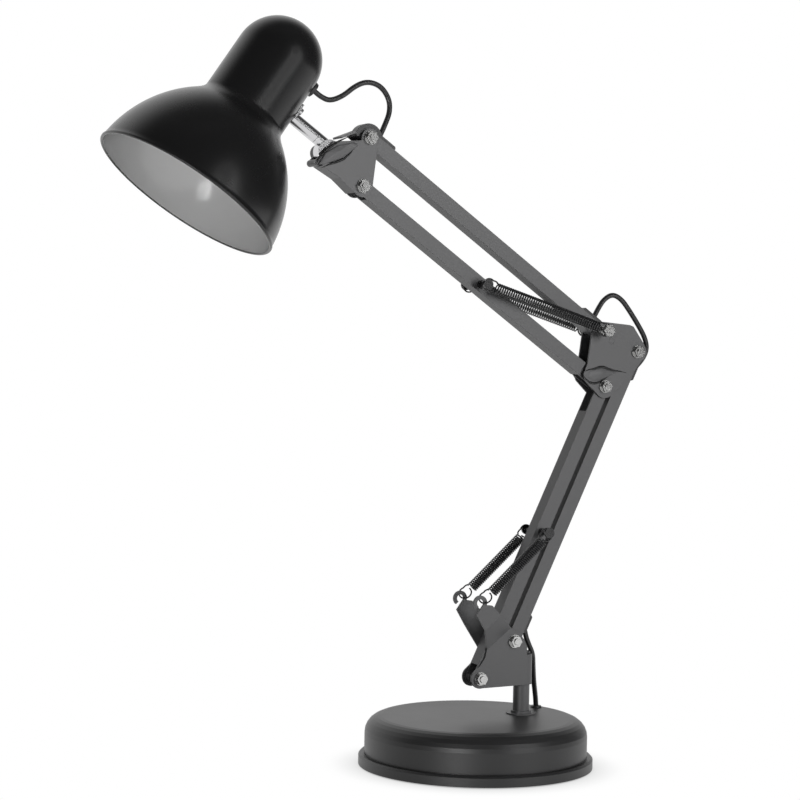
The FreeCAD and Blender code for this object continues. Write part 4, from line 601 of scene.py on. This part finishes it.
# %% Four springs
def made_by_nodes(name, tree, inputs):
    """Run a node tree on an empty mesh and keep its result as a plain mesh object."""
    carrier = bpy.data.objects.new(f"{name}_carrier", bpy.data.meshes.new(name))
    bpy.context.scene.collection.objects.link(carrier)
    modifier = carrier.modifiers.new("nodes", "NODES")
    modifier.node_group = tree
    for item in tree.interface.items_tree:
        if item.item_type == "SOCKET" and item.in_out == "INPUT" and item.name in inputs:
            modifier[item.identifier] = inputs[item.name]
    bpy.context.view_layer.update()
    mesh = bpy.data.meshes.new_from_object(
        carrier.evaluated_get(bpy.context.evaluated_depsgraph_get()))
    bpy.data.objects.remove(carrier)
    mesh.name = name
    piece = bpy.data.objects.new(name, mesh)
    bpy.context.scene.collection.objects.link(piece)
    return piece


def spring(node, ring_a, ring_b, depth, turns, lean):
    """A spring between the middles of its end rings.

    The first ring leans out of the spring's plane by an angle, and the last one stands in it.
    """
    a, b = Vector((ring_a.x, depth, ring_a.z)), Vector((ring_b.x, depth, ring_b.z))
    tilt, shift_a, shift_b = math.radians(lean), Vector(), Vector()
    for _ in range(3):
        way = (b + shift_b - a - shift_a).normalized()
        flat = way.cross(Vector((0.0, 1.0, 0.0))).normalized()
        deep = flat.cross(way)
        first = flat * math.cos(tilt) + deep * math.sin(tilt)
        second = first.cross(way)
        shift_a, shift_b = second * BEND, deep * -BEND
    start = a + shift_a + way * (RING_NECK + BEND)
    end = b + shift_b - way * (RING_NECK + BEND)
    body_length = (end - start).length
    sizes = (turns - lean / 360.0, COIL_RADIUS * MM, WIRE_RADIUS * MM, body_length * MM,
             RING_RADIUS * MM, RING_NECK * MM, BEND * MM)
    inputs = dict(zip(SPRING_SIZES, sizes))
    piece = made_by_nodes(f"{node}_coils", SPRING, inputs | {"Wire Finish": spring_black})
    origin = start * MM
    piece.data.transform(Matrix((
        (first.x, second.x, way.x, origin.x), (first.y, second.y, way.y, origin.y),
        (first.z, second.z, way.z, origin.z), (0.0, 0.0, 0.0, 1.0))))
    piece.data.flip_normals()
    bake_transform(piece)
    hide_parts(node)
    print(f"{node}: {turns} turns in {body_length:.0f} mm, pitch {body_length / turns:.2f} mm")


LOWER_LEFT = Line(JOINT_AT["lower_arm_link"] / MM, FOOT.way)
UPPER_LEFT = Line(JOINT_AT["upper_arm_link"] / MM, ROOT.way)
EYE = LOWER_LEFT.origin + Vector((-6.1, 0.0, 59.3))
LOWER_PIN, UPPER_PIN = Vector(LOWER_LEFT.at(122.9)), Vector(UPPER_LEFT.at(134.8))
STUD = UPPER_LEFT.origin + Vector((-4.2, 0.0, 43.7))
SPRING_PLANE, ON_PIN, IN_HOOK = 16.5, 1.85, 6.0
lower_way = (LOWER_PIN - EYE).normalized()
upper_way = (STUD - UPPER_PIN).normalized()
for side, depth in (("front", -SPRING_PLANE), ("rear", SPRING_PLANE)):
    spring(f"lower_spring_{side}", EYE + lower_way * IN_HOOK, LOWER_PIN - lower_way * ON_PIN,
           depth, 33, 55.0)
    spring(f"upper_spring_{side}", UPPER_PIN + upper_way * ON_PIN, STUD - upper_way * ON_PIN,
           depth, 47, 0.0)

# %% [markdown]
# ## The felt under the base
#
# A soft pad is no hard disc: its edge is rounded and its face is slightly uneven. The disc is
# turned as a lathe turns, with small waves in its underside that stay inside the solid's box.

# %% The felt pad
FELT_RADIUS, FELT_THICK, FELT_EDGE, FELT_WAVE = 78.0, 1.5, 0.6, 0.12
felt_box = [frame["nodes"]["felt_pad"].matrix_world @ Vector(c)
            for c in frame["nodes"]["felt_pad"].bound_box]
felt_radius = max(c.x for c in felt_box) / MM
felt_low, felt_top = min(c.z for c in felt_box) / MM, max(c.z for c in felt_box) / MM
felt_edge = min(FELT_EDGE, (felt_top - felt_low) / 2)
edge_line = arc((felt_radius - felt_edge, felt_low + felt_edge), felt_edge, -math.pi / 2, 0.0, 6)
underside = [(felt_radius * k / 40, felt_low + FELT_WAVE * (1 + math.sin(k * 1.7)) / 2)
             for k in range(38)]
profile = underside + edge_line[1:] + [(felt_radius, felt_top), (0.0, felt_top)]
pad = lathe("felt_pad_soft", profile, Matrix.Identity(4), 96, felt)
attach(pad, "base")
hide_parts("felt_pad")

# %% [markdown]
# ## Pressed creases
#
# The sheet of the elbow and head brackets has creases from its press tool. Each is a low ridge on
# the flat cheek: a row of points along the crease, a width that tapers to nothing at both ends,
# and a crest that stands out by a fraction of a millimetre. The ridges are painted in the shade's
# near-black satin, as painted shade along each crease. A facet is a low pyramid.


# %% Ridges and facets
def ridge(name, points, width, rise, face, body, *materials):
    """A tapering ridge along points (x, z) on a cheek whose face lies at depth face."""
    outwards = -1.0 if face < 0 else 1.0
    vertices, faces = [], []
    places = [Vector((x, 0.0, z)) for x, z in points]
    for k, place in enumerate(places):
        way = (places[min(k + 1, len(places) - 1)] - places[max(k - 1, 0)]).normalized()
        across = Vector((-way.z, 0.0, way.x))
        swell = math.sin(math.pi * (k + 0.15) / (len(places) - 0.7))
        for side, out in ((-0.5, -0.05), (-0.2, rise), (0.2, rise), (0.5, -0.05)):
            spot = place + across * side * width * swell
            vertices.append(Vector((spot.x, face + outwards * out * swell, spot.z)) * MM)
    for k in range(len(places) - 1):
        for j in range(4):
            a, b = k * 4 + j, k * 4 + (j + 1) % 4
            faces.append((a, b, b + 4, a + 4))
    last = (len(places) - 1) * 4
    faces += [(0, 1, 2, 3), (last, last + 1, last + 2, last + 3)]
    piece = add_piece(name, vertices, faces, *materials, smooth=False)
    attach(piece, body)
    return piece


def facet(name, outline, crest, rise, face, body, *materials):
    """A low pyramid over an outline (x, z) on a cheek, with its crest at one point."""
    outwards = -1.0 if face < 0 else 1.0
    count = len(outline)
    vertices = [Vector((x, face - outwards * 0.05, z)) * MM for x, z in outline]
    vertices.append(Vector((crest[0], face + outwards * rise, crest[1])) * MM)
    faces = [(k, (k + 1) % count, count) for k in range(count)] + [tuple(range(count))]
    piece = add_piece(name, vertices, faces, *materials, smooth=False)
    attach(piece, body)
    return piece


def cheek_faces(node):
    """The depths of a bracket's two outer faces, in millimetres."""
    corners = frame["nodes"][node].bound_box
    return min(c[1] for c in corners) / MM, max(c[1] for c in corners) / MM


ELBOW_TOP = ((84.4, 302.8), (89.0, 304.6), (94.5, 305.4), (99.7, 306.8), (103.0, 306.8),
             (106.2, 305.7), (112.0, 304.2), (118.5, 303.6), (124.6, 302.4))
ELBOW_LOW = ((84.0, 301.0), (87.5, 297.0), (91.0, 294.6), (95.0, 294.0), (99.0, 295.0),
             (103.0, 297.0), (108.0, 299.6))
ELBOW_FACET = ((90.0, 303.6), (99.7, 305.6), (106.2, 304.6), (116.0, 302.6), (107.0, 299.0),
               (100.0, 296.2), (93.0, 295.4), (87.5, 298.4))
# The crease ridges take the shade's near-black satin: painted shade along each crease.
for side, face in zip(("front", "rear"), cheek_faces("elbow_bracket")):
    ridge(f"elbow_crease_top_{side}", ELBOW_TOP, 2.4, 0.5, face, "elbow", shade_coat)
    ridge(f"elbow_crease_low_{side}", ELBOW_LOW, 2.2, 0.45, face, "elbow", shade_coat)
    facet(f"elbow_pressing_{side}", ELBOW_FACET, (101.5, 302.4), 0.8, face, "elbow", arm_coat)


# %% The head bracket's slanted facet
HEAD_TOP = ((-146.1, 451.6), (-142.3, 458.4), (-136.0, 464.6), (-127.3, 470.4), (-118.5, 474.6))
HEAD_LOW = ((-142.1, 449.7), (-135.7, 452.6), (-129.4, 454.8), (-123.0, 457.6),
            (-118.2, 461.9), (-114.3, 466.5))
HEAD_FACET = ((-143.8, 452.0), (-138.3, 461.0), (-128.0, 467.4), (-115.9, 470.1),
              (-110.6, 468.3), (-119.8, 461.0), (-126.1, 457.2), (-139.7, 452.2))
head_front = cheek_faces("head_bracket")[0]
cheek = cheek_faces("elbow_bracket")[0]
print(f"cheeks at {cheek:.2f} mm, head bracket's box starts at {head_front:.2f} mm")
# These ridges also take the near-black satin: painted shade along the head bracket's creases.
ridge("head_crease_top", HEAD_TOP, 2.0, 0.45, cheek, "head_bracket", shade_coat)
ridge("head_crease_low", HEAD_LOW, 2.0, 0.45, cheek, "head_bracket", shade_coat)
facet("head_pressing", HEAD_FACET, (-127.0, 463.4), 1.0, cheek, "head_bracket", arm_coat)

# %% [markdown]
# ## Floor, backdrop and light
#
# A product shot: a white sweep behind and below the lamp, and a dark studio in front of it. The
# camera sees white all round. A reflection sees white only where the sweep is, so that black
# paint stays black and metal gets dark and bright parts. The floor glows white, and ambient
# occlusion darkens that glow under the lamp as a painted shadow.


# %% The stage
AMBIENT, STUDIO_DARK = 0.14, 0.08
# How far the painted shadow reaches, and how dark it gets at its darkest.
FLOOR_SIZE, PAINTED_SHADOW_REACH, PAINTED_SHADOW_FLOOR = 3.0, 0.03, 0.45


def stage_material():
    """White paper; camera and reflections see it glow white, with ambient occlusion painting a soft
    shadow near the lamp.
    """
    material = bpy.data.materials.new("white_sweep")
    material.use_nodes = True
    material.node_tree.nodes.clear()
    net = Net(material.node_tree)
    # Ambient occlusion dims the floor's white glow near the lamp: a painted shadow.
    painted_shadow_mask = net.node("ShaderNodeAmbientOcclusion", {"samples": 16}, {
        "Distance": PAINTED_SHADOW_REACH})["AO"]
    white = net.node("ShaderNodeEmission", values={
        "Color": rgba((1.0, 1.0, 1.0)),
        "Strength": painted_shadow_mask * (1.0 - PAINTED_SHADOW_FLOOR) + PAINTED_SHADOW_FLOOR})[0]
    paper = net.node("ShaderNodeBsdfDiffuse", values={"Color": rgba((0.3, 0.3, 0.3))})[0]
    ray = net.node("ShaderNodeLightPath")
    seen = ray["Is Camera Ray"] + ray["Is Glossy Ray"] + ray["Is Transmission Ray"]
    both = net.node("ShaderNodeMixShader", values={0: seen, 1: paper, 2: white})[0]
    net.node("ShaderNodeOutputMaterial", values={"Surface": both})
    return material


def white_world():
    """White to the camera, a white sweep to reflections, and a plain grey level to the rest."""
    world = bpy.data.worlds.new("white_room")
    world.use_nodes = True
    world.node_tree.nodes.clear()
    net = Net(world.node_tree)
    ray = net.node("ShaderNodeLightPath")
    heading = net.node("ShaderNodeTexCoord")["Generated"]
    away = net.node("ShaderNodeSeparateXYZ", values={0: heading})["Y"]
    sweep = net.node("ShaderNodeMapRange", {"interpolation_type": "SMOOTHSTEP"}, {
        "Value": away, "From Min": 0.15, "From Max": 0.75, "To Min": STUDIO_DARK,
        "To Max": 1.0})["Result"]
    straight = ray["Is Camera Ray"] + ray["Is Transmission Ray"]
    glossy = ray["Is Glossy Ray"]
    level = straight + glossy * sweep + (1.0 - straight - glossy) * AMBIENT
    shown = net.node("ShaderNodeBackground", values={
        "Color": rgba((1.0, 1.0, 1.0)), "Strength": level})[0]
    net.node("ShaderNodeOutputWorld", values={"Surface": shown})
    return world


bpy.context.scene.world = white_world()
floor = add_piece("floor", [
    (-FLOOR_SIZE, -FLOOR_SIZE, -0.0005), (FLOOR_SIZE, -FLOOR_SIZE, -0.0005),
    (FLOOR_SIZE, FLOOR_SIZE, -0.0005), (-FLOOR_SIZE, FLOOR_SIZE, -0.0005),
], [(0, 1, 2, 3)], stage_material(), smooth=False)


# %% The lights
def softbox(name, place, target, width, height, power, shine=None):
    """A soft light; with a shine, reflections see a narrower box of that power instead."""
    boxes = [(name, width, power, True, shine is None)]
    if shine is not None:
        boxes.append((f"{name}_shine", width * SHINE_WIDTH, shine, False, True))
    for label, across, energy, lights, shows in boxes:
        light = bpy.data.lights.new(label, "AREA")
        light.shape = "RECTANGLE"
        light.size, light.size_y, light.energy = across, height, energy
        lamp = bpy.data.objects.new(label, light)
        lamp.location = place
        aim = (Vector(target) - Vector(place)).to_track_quat("-Z", "Y")
        lamp.rotation_euler = aim.to_euler()
        lamp.visible_diffuse, lamp.visible_glossy = lights, shows
        bpy.context.scene.collection.objects.link(lamp)


MIDDLE, IN_THE_SHADE, SHINE_WIDTH = (-0.05, 0.0, 0.28), (-0.22, 0.0, 0.45), 0.3
softbox("key_softbox", (0.8, -1.95, 0.7), MIDDLE, 0.7, 1.2, 38.0, 16.0)
softbox("left_window_wide", (-1.5, -1.3, 0.1), IN_THE_SHADE, 0.4, 0.9, 0.8, 16.0)
softbox("left_window_slim", (-1.32, -1.5, 0.12), IN_THE_SHADE, 0.2, 0.8, 0.3, 8.0)
softbox("top_softbox", (0.1, 0.1, 1.9), MIDDLE, 1.0, 1.0, 7.0, 1.6)

interior = bpy.data.lights.new("interior_spot", "SPOT")
interior.energy, interior.spot_size, interior.spot_blend = 44.0, math.radians(9.0), 0.6
interior.shadow_soft_size = 0.06
interior_lamp = bpy.data.objects.new("interior_spot", interior)
interior_lamp.location = (-1.15, -1.35, 0.02)
interior_lamp.visible_glossy = False
interior_lamp.rotation_euler = (
    Vector(IN_THE_SHADE) - interior_lamp.location).to_track_quat("-Z", "Y").to_euler()
bpy.context.scene.collection.objects.link(interior_lamp)

bpy.context.scene.view_settings.view_transform = "Standard"
